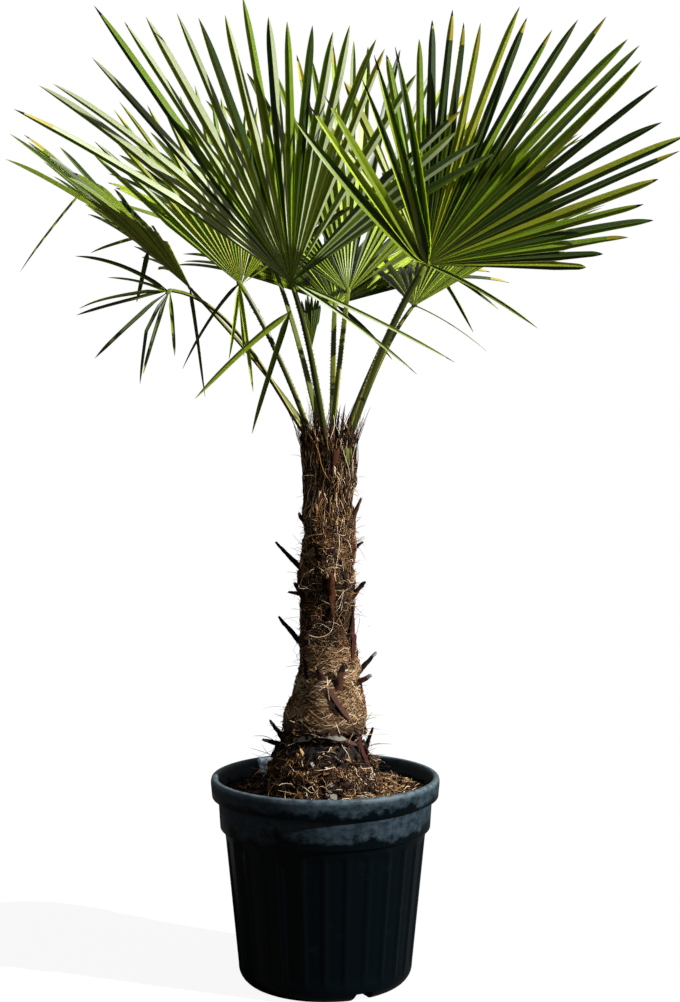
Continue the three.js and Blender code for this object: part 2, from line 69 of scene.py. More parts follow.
# Old leaf bases: height, bearing in degrees, length, width, rise in degrees.
LEAF_BASES = [
    (947, 176, 38, 17, 55), (864, 176, 76, 15, 42), (796, -162, 46, 16, 60), (816, 166, 28, 13, 8),
    (698, -174, 84, 18, 50), (506, 174, 42, 17, 52), (503, -164, 38, 15, 20), (937, -14, 80, 15, 68),
    (904, 6, 26, 14, 38), (800, -10, 48, 19, 50), (640, 12, 62, 15, 48), (629, -20, 36, 19, 30),
    (474, 2, 52, 15, 70), (796, -82, 68, 20, 64), (612, -68, 62, 21, 66), (985, 84, 44, 15, 60),
    (905, 118, 48, 16, 50), (868, 58, 46, 15, 52), (770, 92, 54, 17, 48), (700, 130, 48, 16, 46),
    (655, 70, 52, 17, 42), (560, 112, 50, 18, 36),
]
BASE_SUNK, BASE_THICKNESS = 14, 0.68


def frond(name, foot, hub, tip, face, spread, ends, fall, cup, sag, leaflets, united=UNITED, girth=1):
    return dict(
        name=name, foot=foot, hub=np.array(hub, float), tip=np.array(tip, float),
        face=np.array(face, float), spread=spread, ends=ends, fall=fall, cup=cup, sag=sag,
        leaflets=leaflets, united=united, girth=girth,
    )


# Where each stalk starts and ends, where the middle leaflet ends, the side that looks up, and how the fan
# opens.
FRONDS = [
    frond("front_left", (3, -39), (-65, -190, 1461), (-328, -462, 1975), (-0.1, 0.92, 0.38),
          (95, 28), (0.72, 1.08), (0.75, 1), 0.02, 0.02, 29),
    frond("front_right", (45, -19), (205, -70, 1500), (632, -236, 1973), (0.2, 0.95, 0.25),
          (50, 84), (0.48, 0.62), (1.6, 0.75), 0.04, 0.02, 32, girth=1.35),
    frond("far_left", (-22, 23), (-280, 60, 1455), (-677, 100, 1812), (0.64, 0.1, 0.76),
          (72, 72), (0.62, 0.62), (1, 1), 0.08, 0.02, 28),
    frond("left", (-24, -19), (-173, -20, 1462), (-486, 30, 1845), (0.08, 0.99, 0.01),
          (95, 12), (0.6, 0.92), (1, 1), 0.1, 0.03, 24),
    frond("centre", (14, 9), (48, 140, 1453), (131, 360, 2074), (0, -0.94, 0.33),
          (66, 50), (0.8, 0.7), (1, 1), 0.1, 0.03, 26),
    frond("right", (48, 8), (184, 50, 1420), (610, 295, 1715), (-0.45, -0.27, 0.85),
          (68, 22), (0.75, 0.8), (1, 1), 0.1, 0.05, 22),
    frond("back_left", (-6, 36), (-110, 240, 1500), (-330, 640, 1910), (0.34, -0.57, 0.74),
          (60, 46), (0.66, 0.8), (1, 1), 0.12, 0.04, 22),
    frond("back_right", (36, 30), (220, 240, 1530), (480, 590, 1935), (-0.45, -0.5, 0.73),
          (62, 40), (0.76, 0.76), (1, 1), 0.12, 0.04, 22),
    frond("back", (15, 40), (20, 300, 1430), (60, 860, 1720), (0, -0.46, 0.89),
          (66, 66), (0.7, 0.7), (1, 1), 0.12, 0.06, 28),
    frond("low_left", (-29, 2), (-322, 15, 1452), (-487, -60, 1306), (-0.3, -0.8, 0.5),
          (60, 62), (0.8, 0.85), (1, 1), 0.06, 0.03, 11, united=0.2),
    frond("young", (-1, -12), (-28, -90, 1324), (-25, -110, 1449), (0, 0.99, 0.16),
          (12, 12), (0.85, 0.85), (1, 1), 0, 0, 7, girth=0.6),
]


# ---- small tools ----

def unit(v):
    """v divided by its length, along the last axis."""
    return v / np.linalg.norm(v, axis=-1, keepdims=True)


def ease(low, high, x):
    """0 below low, 1 above high, and 3t^2 - 2t^3 between."""
    t = np.clip((x - low) / (high - low), 0, 1)
    return t * t * (3 - 2 * t)


def chance(i, j):
    """The source's rule for unevenness: the fraction of 43758.5453 sin(12.9898 i + 78.233 j)."""
    wave = np.sin(i * 12.9898 + j * 78.233) * 43758.5453
    return wave - np.floor(wave)


def noise(x, y, seed, wrap_x=256, wrap_y=256):
    """Smooth noise from 0 to 1: random values on a lattice with steps of 1, mixed with 3t^2 - 2t^3."""
    table = np.random.default_rng(seed).random((wrap_x, wrap_y))
    x, y = np.broadcast_arrays(x, y)
    column, row = np.floor(x).astype(int), np.floor(y).astype(int)
    u, v = x - column, y - row
    u, v = u * u * (3 - 2 * u), v * v * (3 - 2 * v)
    left, right = column % wrap_x, (column + 1) % wrap_x
    low, high = row % wrap_y, (row + 1) % wrap_y
    below = table[left, low] * (1 - u) + table[right, low] * u
    above = table[left, high] * (1 - u) + table[right, high] * u
    return below * (1 - v) + above * v


def loft(rings, poles=False):
    """Closed tubes from rings (tubes, rows, loop, 3): each ring is joined to the next, and both ends are
    closed, by a fan from the ring's first point, or from its middle where poles is true."""
    tubes, rows, loop, _ = rings.shape
    index = np.arange(tubes * rows * loop).reshape(tubes, rows, loop)
    ahead = np.roll(index, -1, axis=2)
    quads = np.stack([index[:, :-1], ahead[:, :-1], ahead[:, 1:], index[:, 1:]], axis=-1)
    points = rings.reshape(-1, 3)
    if poles:
        middles = rings[:, [0, -1]].mean(axis=2)
        pole = (index.size + np.arange(tubes * 2)).reshape(tubes, 2, 1) + np.zeros(loop, int)
        points = np.concatenate([points, middles.reshape(-1, 3)])
        start = np.stack([pole[:, 0], ahead[:, 0], index[:, 0]], axis=-1)
        end = np.stack([index[:, -1], ahead[:, -1], pole[:, 1]], axis=-1)
    else:
        first = index[:, :, :1] + np.zeros(loop - 2, int)
        start = np.stack([first[:, 0], index[:, 0, 2:], index[:, 0, 1:-1]], axis=-1)
        end = np.stack([first[:, -1], index[:, -1, 1:-1], index[:, -1, 2:]], axis=-1)
    triangles = np.stack([start, end], axis=1)
    return points, quads, triangles


class Mass:
    """Surfaces collected as whole arrays, in mm, and made into one joined mesh in metres."""

    def __init__(self):
        self.points, self.quads, self.triangles, self.quad_slots, self.triangle_slots = [], [], [], [], []
        self.count = 0

    def add(self, surface, quad_slot=0, triangle_slot=0):
        """Adds points, quads and triangles, as loft gives them, with the numbers of their finishes."""
        points, quads, triangles = surface
        self.points.append(points)
        self.quads.append(quads.reshape(-1, 4) + self.count)
        self.triangles.append(triangles.reshape(-1, 3) + self.count)
        self.quad_slots.append(np.broadcast_to(quad_slot, quads.shape[:-1]).ravel())
        self.triangle_slots.append(np.broadcast_to(triangle_slot, triangles.shape[:-1]).ravel())
        self.count += len(points)

    def add_each(self, surface, colour):
        """Adds tubes of one colour each."""
        self.add(surface, colour[:, None, None], colour[:, None, None])

    def make(self, name, finishes, record_slot, replaced=(), fold=None):
        """fold: edges turned by more than this many degrees stay sharp, and None leaves all smooth."""
        points = np.concatenate(self.points) * MM
        quads, triangles = np.concatenate(self.quads), np.concatenate(self.triangles)
        corners = np.concatenate([quads.ravel(), triangles.ravel()])
        starts = np.concatenate([
            np.arange(len(quads)) * 4, quads.size + np.arange(len(triangles)) * 3,
        ])
        mesh = bpy.data.meshes.new(name)
        mesh.vertices.add(len(points))
        mesh.vertices.foreach_set("co", points.astype(np.float32).ravel())
        mesh.loops.add(len(corners))
        mesh.loops.foreach_set("vertex_index", corners.astype(np.int32))
        mesh.polygons.add(len(starts))
        mesh.polygons.foreach_set("loop_start", starts.astype(np.int32))
        for finish in finishes:
            mesh.materials.append(finish)
        slots = np.concatenate(self.quad_slots + self.triangle_slots)
        mesh.polygons.foreach_set("material_index", slots.astype(np.int32))
        mesh.update(calc_edges=True)
        mesh.validate()
        mesh.shade_smooth()
        if fold is not None:
            mesh.set_sharp_from_angle(angle=math.radians(fold))
        piece = bpy.data.objects.new(name, mesh)
        bpy.context.scene.collection.objects.link(piece)
        if replaced:
            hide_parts(*replaced)
        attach(piece, "root")
        return piece


# ---- finishes ----

def linear(hex_colour):
    """An sRGB hex colour as linear red, green, blue and alpha."""
    parts = [int(hex_colour[k:k + 2], 16) / 255 for k in (1, 3, 5)]
    return (*[c / 12.92 if c <= 0.04045 else ((c + 0.055) / 1.055) ** 2.4 for c in parts], 1.0)


# The kinds of node. RANGE takes a value, where it starts and ends, and what it becomes at each. The sockets of
# MIX are numbered by type: 0 is its share, 6 and 7 are its colours, and output 2 is the colour it gives.
PLACE, SPLIT, STRETCH = "ShaderNodeTexCoord", "ShaderNodeSeparateXYZ", "ShaderNodeMapping"
NOISE, RANGE, MATH, BUMP = "ShaderNodeTexNoise", "ShaderNodeMapRange", "ShaderNodeMath", "ShaderNodeBump"
MIX = "ShaderNodeMix"


def add_node(tree, kind, inputs=(), out=0, **settings):
    """Adds a node and returns one of its outputs, or the node itself where out is None. settings are the
    node's own properties. inputs are a list in the order of the sockets, or are keyed by their names or
    numbers: each is a value, a hex colour or another node's output."""
    made = tree.nodes.new(kind)
    for key, value in settings.items():
        setattr(made, key, value)
    for key, value in inputs.items() if isinstance(inputs, dict) else enumerate(inputs):
        if isinstance(value, bpy.types.NodeSocket):
            tree.links.new(value, made.inputs[key])
        else:
            made.inputs[key].default_value = linear(value) if isinstance(value, str) else value
    return made if out is None else made.outputs[out]


def finish(name, colour, roughness, **sockets):
    """A material with one Principled shader. Returns the material, its node tree and the shader."""
    made = bpy.data.materials.new(name)
    made.use_nodes = True
    tree = made.node_tree
    tree.nodes.clear()
    values = {"Base Color": colour, "Roughness": roughness}
    values.update({key.replace("_", " "): value for key, value in sockets.items()})
    shader = add_node(tree, "ShaderNodeBsdfPrincipled", values, out=None)
    add_node(tree, "ShaderNodeOutputMaterial", {"Surface": shader.outputs["BSDF"]}, out=None)
    made.diffuse_color = linear(colour)
    return made, tree, shader


# Heights on the pot, in metres, between which the dust thickens, at the rim's underside stops, and near the
# rim's top edge turns paler, dust with a painted highlight.
DUST_RIM, DUST_COLLAR, DUST_WALL = (0.395, 0.437), (0.329, 0.39), (0.325, 0.33)
RIM_UNDERSIDE, DUST_AND_HIGHLIGHT_TOP = (0.3949, 0.3951), (0.426, 0.437)


def plastic_finish():
    # Polypropylene, injection moulded and blue-black, with a satin gloss. A film of dust and dried rain
    # lies on the rim and on the collar, thick above and ragged below, with a trace of it on the wall, in
    # clouds of 45 mm and spots of 18 mm. Along the rim's top edge the film turns paler: dust, and a painted
    # highlight. The moulded grain is drawn at 1.1 mm, as coarse as it needs to show.
    made, tree, shader = finish("moulded_polypropylene", "#010406", 0.3, Specular_IOR_Level=0.14)
    place = add_node(tree, PLACE, out="Object")
    height = add_node(tree, SPLIT, [place], "Z")
    drawn_out = add_node(tree, STRETCH, {"Vector": place, "Scale": (1, 1, 1.4)})
    cloud = add_node(tree, NOISE, {"Vector": drawn_out, "Scale": 22, "Detail": 6, "Roughness": 0.62})
    rim = add_node(tree, RANGE, [height, *DUST_RIM, 0, 0.5])
    collar = add_node(tree, RANGE, [height, *DUST_COLLAR, 0, 0.45])
    under_rim = add_node(tree, RANGE, [height, *RIM_UNDERSIDE, 1, 0])
    collar = add_node(tree, MATH, [collar, under_rim], operation="MULTIPLY")
    banks = add_node(tree, MATH, [rim, collar], operation="ADD")
    depth = add_node(tree, MATH, [banks, cloud], operation="ADD")
    bank = add_node(tree, RANGE, [depth, 0.58, 0.72, 0, 1])
    upper = add_node(tree, RANGE, [height, *DUST_WALL, 0.06, 0.9])
    bank = add_node(tree, MATH, [bank, upper], operation="MULTIPLY")
    drawn_out = add_node(tree, STRETCH, {"Vector": place, "Scale": (1, 1, 1.5)})
    spots = add_node(tree, NOISE, {"Vector": drawn_out, "Scale": 55, "Detail": 5, "Roughness": 0.65})
    mottle = add_node(tree, RANGE, [spots, 0.36, 0.6, 0.35, 1])
    dust = add_node(tree, MATH, [bank, mottle], operation="MULTIPLY")
    # painted highlight: the dust film is paler along the rim's top edge
    paler_dust_and_top_highlight = add_node(tree, RANGE, [height, *DUST_AND_HIGHLIGHT_TOP, 0, 1])
    dust_film_and_highlight = add_node(tree, MIX, {0: paler_dust_and_top_highlight, 6: "#212C33", 7: "#4C5A60"}, 2, data_type="RGBA")
    colour = add_node(tree, MIX, {0: dust, 6: "#010406", 7: dust_film_and_highlight}, 2, data_type="RGBA")
    tree.links.new(colour, shader.inputs["Base Color"])
    tree.links.new(add_node(tree, RANGE, [dust, 0, 1, 0.25, 0.6]), shader.inputs["Roughness"])
    grain = add_node(tree, NOISE, {"Vector": place, "Scale": 900, "Detail": 2, "Roughness": 0.5})
    bumps = add_node(tree, BUMP, {"Height": grain, "Distance": 0.00012, "Strength": 1.0})
    tree.links.new(bumps, shader.inputs["Normal"])
    return made


def soil_finish():
    # Moist composted bark: nearly black where wet, brown where it has dried, in crumbs of about 6 mm.
    made, tree, shader = finish("composted_bark", "#1B130D", 0.95, Specular_IOR_Level=0.2)
    place = add_node(tree, PLACE, out="Object")
    crumbs = add_node(tree, NOISE, {"Vector": place, "Scale": 160, "Detail": 6, "Roughness": 0.7})
    dried = add_node(tree, RANGE, [crumbs, 0.4, 0.7, 0, 1])
    colour = add_node(tree, MIX, {0: dried, 6: "#0D0907", 7: "#33251A"}, 2, data_type="RGBA")
    tree.links.new(colour, shader.inputs["Base Color"])
    bumps = add_node(tree, BUMP, {"Height": crumbs, "Distance": 0.004, "Strength": 1.0})
    tree.links.new(bumps, shader.inputs["Normal"])
    return made


def trunk_finish():
    # Brown palm fibre felted round the trunk: coarse hairs, dark with age and damp, tan where rubbed and
    # dry. The woven sheaths lie tan from 0.56 to 0.72 m, and the ones over 0.98 m are dark upright hairs.
    # Under the torn lip at 0.53 m the felt is painted near black, as the lip's shade. Strands lie
    # 17 mm long and 3 mm thick, or stand 5 mm wide and 44 mm tall, as coarse as they need to show,
    # under blotches of 70 mm.
    made, tree, shader = finish("felted_palm_fibre", "#2C2015", 0.92, Specular_IOR_Level=0.25)
    place = add_node(tree, PLACE, out="Object")
    height = add_node(tree, SPLIT, [place], "Z")
    flat = add_node(tree, STRETCH, {"Vector": place, "Scale": (1, 1, 5)})
    hairs_flat = add_node(tree, NOISE, {"Vector": flat, "Scale": 60, "Detail": 5, "Roughness": 0.65})
    tall = add_node(tree, STRETCH, {"Vector": place, "Scale": (1, 1, 0.12)})
    hairs_tall = add_node(tree, NOISE, {"Vector": tall, "Scale": 190, "Detail": 4, "Roughness": 0.6})
    blotches = add_node(tree, NOISE, {"Vector": place, "Scale": 14, "Detail": 3, "Roughness": 0.5})

    def over(ground, colour, *bands, most=1):
        """ground, with colour laid over it by the product of the bands: what each reads, where it starts and
        where it is full."""
        shares = [add_node(tree, RANGE, [*edges, 0, most]) for edges in bands]
        share = shares[0]
        for other in shares[1:]:
            share = add_node(tree, MATH, [share, other], operation="MULTIPLY")
        return add_node(tree, MIX, {0: share, 6: ground, 7: colour}, 2, data_type="RGBA")

    low = over("#0A0503", "#4C331D", (hairs_flat, 0.42, 0.66))
    woven = over("#22160C", "#7A5E3C", (hairs_flat, 0.36, 0.62))
    top = over("#0A0604", "#4A3420", (hairs_tall, 0.42, 0.66))
    felt = over(low, woven, (height, 0.545, 0.57), (height, 0.74, 0.68))
    felt = over(felt, top, (height, 0.96, 1.02))
    # painted shade: near-black felt under the torn lip
    felt = over(felt, "#060403", (height, 0.47, 0.5), (height, 0.53, 0.518))
    felt = over(felt, "#120C08", (blotches, 0.45, 0.7), most=0.5)
    tree.links.new(felt, shader.inputs["Base Color"])
    bumps = add_node(tree, BUMP, {"Height": hairs_flat, "Distance": 0.005, "Strength": 1.0})
    tree.links.new(bumps, shader.inputs["Normal"])
    return made


def plain_finishes(rows):
    """Plain base colours that are dealt out by leaflet, hair or chip: rows of name, colour, roughness and
    the share of the light that goes in and comes out again, most of it green, 1.5 mm away."""
    made = []
    for name, colour, roughness, through in rows:
        sockets = {"Specular_IOR_Level": 0.25 if roughness < 0.6 else 0.08}
        if through:
            sockets["Subsurface_Weight"] = through
            sockets["Subsurface_Radius"] = (0.74, 1.0, 0.1)
            sockets["Subsurface_Scale"] = 0.0015
        made.append(finish(name, colour, roughness, **sockets)[0])
    return made


# Living palm leaf: a tough skin with a thin wax, so it is satin above and duller and paler beneath, and
# light that comes through it is yellow-green. The tips yellow and then dry to brown with age.
LEAF_FINISHES = plain_finishes([
    ("leaf_skin_deep", "#26340A", 0.42, 0.3),
    ("leaf_skin_green", "#52620E", 0.42, 0.5),
    ("leaf_skin_fresh", "#7A8A18", 0.44, 0.7),
    ("leaf_under_deep", "#203008", 0.5, 0.3),
    ("leaf_under_green", "#5A7210", 0.5, 0.7),
    ("leaf_under_pale", "#868E6A", 0.5, 0.3),
    ("leaf_under_olive", "#747A16", 0.5, 0.7),
    ("leaf_under_straw", "#A09A38", 0.5, 0.5),
    ("leaf_rib", "#5C6420", 0.5, 0.0),
    ("leaf_tip_yellow", "#857C1C", 0.5, 0.3),
    ("leaf_tip_dry", "#1C150E", 0.8, 0.0),
])
# The first of the skins above and beneath, and the others' numbers in the list.
DEEP, UNDER_DEEP, RIB, YELLOW, DRY = 0, 3, 8, 9, 10

# Leaf stalks: smooth and green, with yellowing margins and small teeth, brown at the foot where the fibre
# holds them.
STALK_FINISHES = plain_finishes([
    ("stalk_skin", "#454B10", 0.42, 0.0),
    ("stalk_back", "#282F09", 0.42, 0.0),
    ("stalk_margin", "#6C6620", 0.5, 0.0),
    ("stalk_foot", "#332413", 0.7, 0.0),
    ("stalk_crest", "#566020", 0.6, 0.0),
])
STALK_SKIN, STALK_BACK, STALK_MARGIN, STALK_FOOT_BROWN, STALK_CREST = range(5)

# Palm fibre: hairs from nearly black to straw, each hair of one colour.
FIBRE_FINISHES = plain_finishes([
    ("fibre_black", "#0E0A08", 0.85, 0.0),
    ("fibre_dark", "#1E1611", 0.85, 0.0),
    ("fibre_brown", "#4A3120", 0.85, 0.0),
    ("fibre_gold", "#70502E", 0.8, 0.0),
    ("fibre_tan", "#967B5A", 0.8, 0.0),
    ("fibre_straw", "#C2AF92", 0.75, 0.0),
])

# Dead leaf bases: woody, split and weathered, dark red-brown with lighter broken ends. The sheaths of living
# leaves are still green.
BASE_FINISHES = plain_finishes([
    ("base_dark", "#110A07", 0.85, 0.0),
    ("base_red", "#2C120D", 0.7, 0.0),
    ("base_pink", "#3A241D", 0.75, 0.0),
    ("base_orange", "#402413", 0.7, 0.0),
    ("base_grey", "#67615A", 0.85, 0.0),
    ("base_live", "#454818", 0.55, 0.0),
])
BASE_DARK, BASE_RED, BASE_PINK, BASE_ORANGE, BASE_GREY, BASE_LIVE = range(6)

# Compost chips: bark, wood and dry root, from wet black to bleached.
CHIP_FINISHES = plain_finishes([
    ("chip_black", "#0E0A08", 0.9, 0.0),
    ("chip_brown", "#2C1E14", 0.9, 0.0),
    ("chip_rust", "#553720", 0.9, 0.0),
    ("chip_tan", "#7D6542", 0.85, 0.0),
    ("chip_grey", "#8E877C", 0.85, 0.0),
])


# ---- pot ----

# The flutes' arched tops, and how many of the outline's points are on the outside of the wall, from the
# foot.
ARCH_SPRING, ARCH_RISE, ARCH_SOFT = 303, 13, 8
OUTSIDE_POINTS = 57


def rounded(corners, steps=4):
    """An outline whose corners (radius, height, size) are cut by curves that start and end size away from
    them: p = (1-t)^2 before + 2t(1-t) corner + t^2 after."""
    out = []
    for k, (r, z, size) in enumerate(corners):
        here = np.array([r, z], float)
        if not size or k in (0, len(corners) - 1):
            out.append(here)
            continue
        before, after = (np.array(corners[k + d][:2], float) for d in (-1, 1))
        start, end = here + unit(before - here) * size, here + unit(after - here) * size
        t = np.linspace(0, 1, steps + 1)[:, None]
        out.extend((1 - t) ** 2 * start + 2 * t * (1 - t) * here + t * t * end)
    return np.array(out)


def pot_outline():
    """Radius and height from the middle of the underside, up the outside, over the rim and down the
    inside."""
    turn = np.linspace(0, math.pi / 2, 10)[:-1]
    corner = np.stack([
        FOOT_RADIUS + (WALL_FOOT_RADIUS - FOOT_RADIUS) * np.sin(turn), FOOT_CORNER * (1 - np.cos(turn)),
    ], axis=1)
    share = np.linspace(0, 1, 44)
    wall = np.stack([
        WALL_FOOT_RADIUS + (WALL_TOP_RADIUS - WALL_FOOT_RADIUS) * share,
        FOOT_CORNER + (COLLAR_FOOT - 4 - FOOT_CORNER) * share,
    ], axis=1)
    upper = rounded([
        (WALL_TOP_RADIUS, COLLAR_FOOT - 4, 0), (WALL_TOP_RADIUS + 0.5, COLLAR_FOOT - 0.6, 0.5),
        (COLLAR_RADIUS - 4, COLLAR_FOOT, 2.5), (COLLAR_RADIUS, RIM_FOOT, 1.2), (RIM_RADIUS - 3, RIM_FOOT, 2),
        (RIM_RADIUS, POT_HEIGHT - 8, 6), (RIM_RADIUS - 3, POT_HEIGHT, 4),
        (RIM_RADIUS - RIM_THICKNESS + 2, POT_HEIGHT, 3), (RIM_RADIUS - RIM_THICKNESS, POT_HEIGHT - 6, 2),
        (COLLAR_RADIUS - WALL, RIM_FOOT - WALL, 3), (WALL_TOP_RADIUS - WALL, COLLAR_FOOT - WALL, 3),
        (WALL_FOOT_RADIUS - WALL - FLUTE_DEPTH + 0.5, 31, 12), (FOOT_RADIUS, FLOOR, 6), (60, FLOOR, 0),
        (6, FLOOR, 0),
    ])
    under = np.array([(6, 0), (70, 0), (140, 0)], float)
    return np.concatenate([under, corner, wall, upper[1:]])


def pot_surface():
    """The outline turned round Z. On the wall each flute is a groove FLUTE_DEPTH deep with a rounded rib on
    each side and an arched top: depth = groove across x (below its arch) x (above its foot)."""
    outline = pot_outline()
    radius, height = outline[:, :1], outline[:, 1:]
    bearing = np.linspace(0, TAU, FLUTES * 16, endpoint=False)[None]
    across = np.abs((bearing * FLUTES / TAU) % 1 * 2 - 1)
    groove = 1 - ease(0.5, 0.98, across)
    arch = ARCH_SPRING + ARCH_RISE * np.sqrt(np.clip(1 - (across / 0.95) ** 2, 0, 1))
    outside = np.arange(len(outline))[:, None] < OUTSIDE_POINTS
    on_wall = (radius > WALL_FOOT_RADIUS - 4) & (height < COLLAR_FOOT - 4) & outside
    depth = FLUTE_DEPTH * groove * ease(0, ARCH_SOFT, arch - height) * ease(26, 58, height) * on_wall
    r = radius - depth
    ring = np.stack([r * np.cos(bearing), r * np.sin(bearing), height + 0 * bearing], axis=-1)
    return loft(ring[None], poles=True)


def cut_by(piece, cutter):
    """Cuts one mesh out of another with an exact Boolean, keeps the result as the piece's mesh and drops the
    cutter."""
    cut = piece.modifiers.new("cut", "BOOLEAN")
    cut.operation, cut.solver, cut.object = "DIFFERENCE", "EXACT", cutter
    bpy.context.view_layer.update()
    evaluated = piece.evaluated_get(bpy.context.evaluated_depsgraph_get())
    mesh = bpy.data.meshes.new_from_object(evaluated)
    piece.modifiers.clear()
    piece.data = mesh
    bpy.data.objects.remove(cutter)


def make_pot(plastic):
    """The pot's surface, less a wedge under its wall at each notch: NOTCH_WIDTH wide below, NOTCH_TOP_WIDTH
    above, and NOTCH_DEPTH deep inward of the foot."""
    body = Mass()
    body.add(pot_surface())
    pot = body.make("pot_shell", [plastic], "pot_plastic", ["pot"], fold=35)
    notches = Mass()
    foot, top = NOTCH_WIDTH / 2, NOTCH_TOP_WIDTH / 2
    outline = [(-foot, -2), (foot, -2), (top, NOTCH_HEIGHT), (-top, NOTCH_HEIGHT)]
    for k in range(NOTCHES):
        bearing = math.radians(NOTCH_FIRST + k * 360 / NOTCHES)
        out = np.array([math.cos(bearing), math.sin(bearing), 0])
        side = np.array([-math.sin(bearing), math.cos(bearing), 0])
        rings = np.array([
            [out * r + side * s + np.array([0, 0, z]) for s, z in outline]
            for r in (FOOT_RADIUS - NOTCH_DEPTH, WALL_FOOT_RADIUS + 4)
        ])
        notches.add(loft(rings[None]))
    cutter = bpy.data.objects.new("cutter", bpy.data.meshes.new("cutter"))
    lists = (notches.points, notches.quads, notches.triangles)
    points, quads, triangles = (np.concatenate(rows) for rows in lists)
    cutter.data.from_pydata(points * MM, [], quads.tolist() + triangles.tolist())
    bpy.context.scene.collection.objects.link(cutter)
    cut_by(pot, cutter)


# ---- soil ----

def soil_top(x, y):
    """Height of the soil: level, with heaps of a few mm, a collar of root fibre that climbs the trunk's
    foot, and a bank on the right."""
    away = np.hypot(x + 5, y)
    heaps = noise(x / 26 + 40, y / 26 + 40, 3) * 9 + noise(x / 9 + 80, y / 9 + 80, 4) * 5
    return SOIL_TOP - 11 + heaps + 12 * ease(165, 118, away) + 13 * ease(20, 190, x) * ease(222, 195, away)


def soil_surface():
    """The plug of soil: it fills the pot's inside, half a millimetre or more clear of its wall."""
    bearing = np.linspace(0, TAU, 180, endpoint=False)[None]
    lining = [
        (8, FLOOR + GAP), (FOOT_RADIUS - 0.5, FLOOR + GAP), (WALL_FOOT_RADIUS - 12.5, 36),
        (WALL_TOP_RADIUS - WALL - 1.2, COLLAR_FOOT - WALL), (217, 380),
    ]
    wall = np.array([(r + 0 * bearing[0], z + 0 * bearing[0]) for r, z in lining])
    radius = np.concatenate([wall[:, 0], np.linspace(218, 60, 70)[:, None] + 0 * bearing])
    x, y = radius * np.cos(bearing), radius * np.sin(bearing)
    z = soil_top(x, y)
    z[: len(wall)] = wall[:, 1]
    return loft(np.stack([x, y, z], axis=-1)[None], poles=True)


def scraps(rng, middle, size, flat):
    """Flat six-sided scraps about their middles: boxes whose corners are moved at random, turned every way,
    with their thin side more or less toward flat."""
    count = len(middle)
    box = np.array([[(-1, -1), (1, -1), (1, 1), (-1, 1)]] * 2, float) / 2
    corners = np.concatenate([box, np.array([-0.5, 0.5])[:, None, None] + np.zeros((2, 4, 1))], axis=-1)
    corners = corners[None] * rng.uniform(0.6, 1.3, (count, 2, 4, 1)) * size[:, None, None]
    axis = rng.normal(size=(count, 3))
    axis = unit(axis - 0.65 * flat * (axis * flat).sum(-1, keepdims=True))
    across = unit(np.cross(axis, rng.normal(size=(count, 3)) * 0.25 + flat))
    over = np.cross(axis, across)
    turned = (corners[..., :1] * axis[:, None, None] + corners[..., 1:2] * across[:, None, None]
              + corners[..., 2:] * over[:, None, None])
    return loft(middle[:, None, None] + turned)


def scrap_sizes(rng, count, *sides):
    """Length, width and thickness of each scrap: a gamma draw with the side's shape and scale, and its
    least."""
    return np.stack([rng.gamma(shape, scale, count) + least for shape, scale, least in sides], axis=-1)


def chips(rng, count):
    """Scraps that lie on the soil, and the colour number of each: lighter and browner toward +x, as
    painted sunlight on the side the lamp lights."""
    bearing = rng.random(count) * TAU
    away = np.sqrt(rng.uniform(112 ** 2, 216 ** 2, count))
    x, y = away * np.cos(bearing), away * np.sin(bearing)
    middle = np.stack([x, y, soil_top(x, y) + rng.uniform(-1, 2.5, count)], axis=-1)
    size = scrap_sizes(rng, count, (3.0, 1.9, 2), (3.0, 1.0, 1.5), (2.0, 0.6, 0.6))
    # painted sunlight: chips turn lighter and browner toward +x, the lamp's side
    painted_sun_side = ease(-120, 150, x)
    pick = rng.random(count)
    colour = np.select(
        [pick < 0.50 - 0.30 * painted_sun_side, pick < 0.80 - 0.32 * painted_sun_side, pick < 0.92 - 0.20 * painted_sun_side, pick < 0.985],
        [0, 1, 2, 3], 4,
    )
    return scraps(rng, middle, size, np.array([0, 0, 1.0])), colour


def flakes(rng, count):
    """Scraps of bark and matted root that stick to the mound at the trunk's foot, and the colour number of
    each."""
    z, b = rng.uniform(412, 545, count), rng.random(count) * TAU
    out = np.stack([np.cos(b), np.sin(b), 0.3 + 0 * b], axis=-1)
    size = scrap_sizes(rng, count, (3.0, 2.4, 3), (3.0, 1.5, 2), (2.0, 1.2, 1.2))
    middle = trunk_point(z, b, rng.uniform(-2, 5, count))
    return scraps(rng, middle, size, unit(out)), deal(rng, count, (6, 4, 0.8, 0.5, 0.3))


def straws(rng, count):
    """Dry straws on the soil, most of them on its sunny side: straight, with a low bow, and a colour number
    each."""
    t = np.linspace(0, 1, 7)[None]
    bearing = rng.normal(-0.3, 1.1, (count, 1))
    away, turn = rng.uniform(128, 205, (count, 1)), rng.random((count, 1)) * TAU
    size = rng.uniform(12, 48, (count, 1))
    x = away * np.cos(bearing) + size * (t - 0.5) * np.cos(turn)
    y = away * np.sin(bearing) + size * (t - 0.5) * np.sin(turn)
    keep = np.minimum(1, 208 / np.hypot(x, y).max(axis=1, keepdims=True))
    x, y = x * keep, y * keep
    z = soil_top(x, y) + 2.5 + rng.uniform(0, 6, (count, 1)) * np.sin(math.pi * t)
    colour = deal(rng, count, (0, 0.5, 2, 2, 4, 3))
    return hairs(np.stack([x, y, z], axis=-1), rng.uniform(0.4, 0.9, count), np.array([0, 0, 1.0])), colour


# ---- trunk ----

# Heights on the trunk: the torn lip of the lower fibre, the lap over it, where the fibre turns upright,
# and the loose roots at the foot.
LIP, LAP, UPRIGHT, ROOTS = 528, 668, (930, 1010), (545, 470)
LIP_PROUD, LIP_UNDERCUT, LAP_PROUD = 7, 14, 4
SHOULDER = TRUNK_TOP - 14


def profile(z, column):
    """The trunk's radius (column 1) or lean (column 2) at height z, in straight steps between the named
    heights."""
    return np.interp(z, TRUNK_PROFILE[:, 0], TRUNK_PROFILE[:, column])


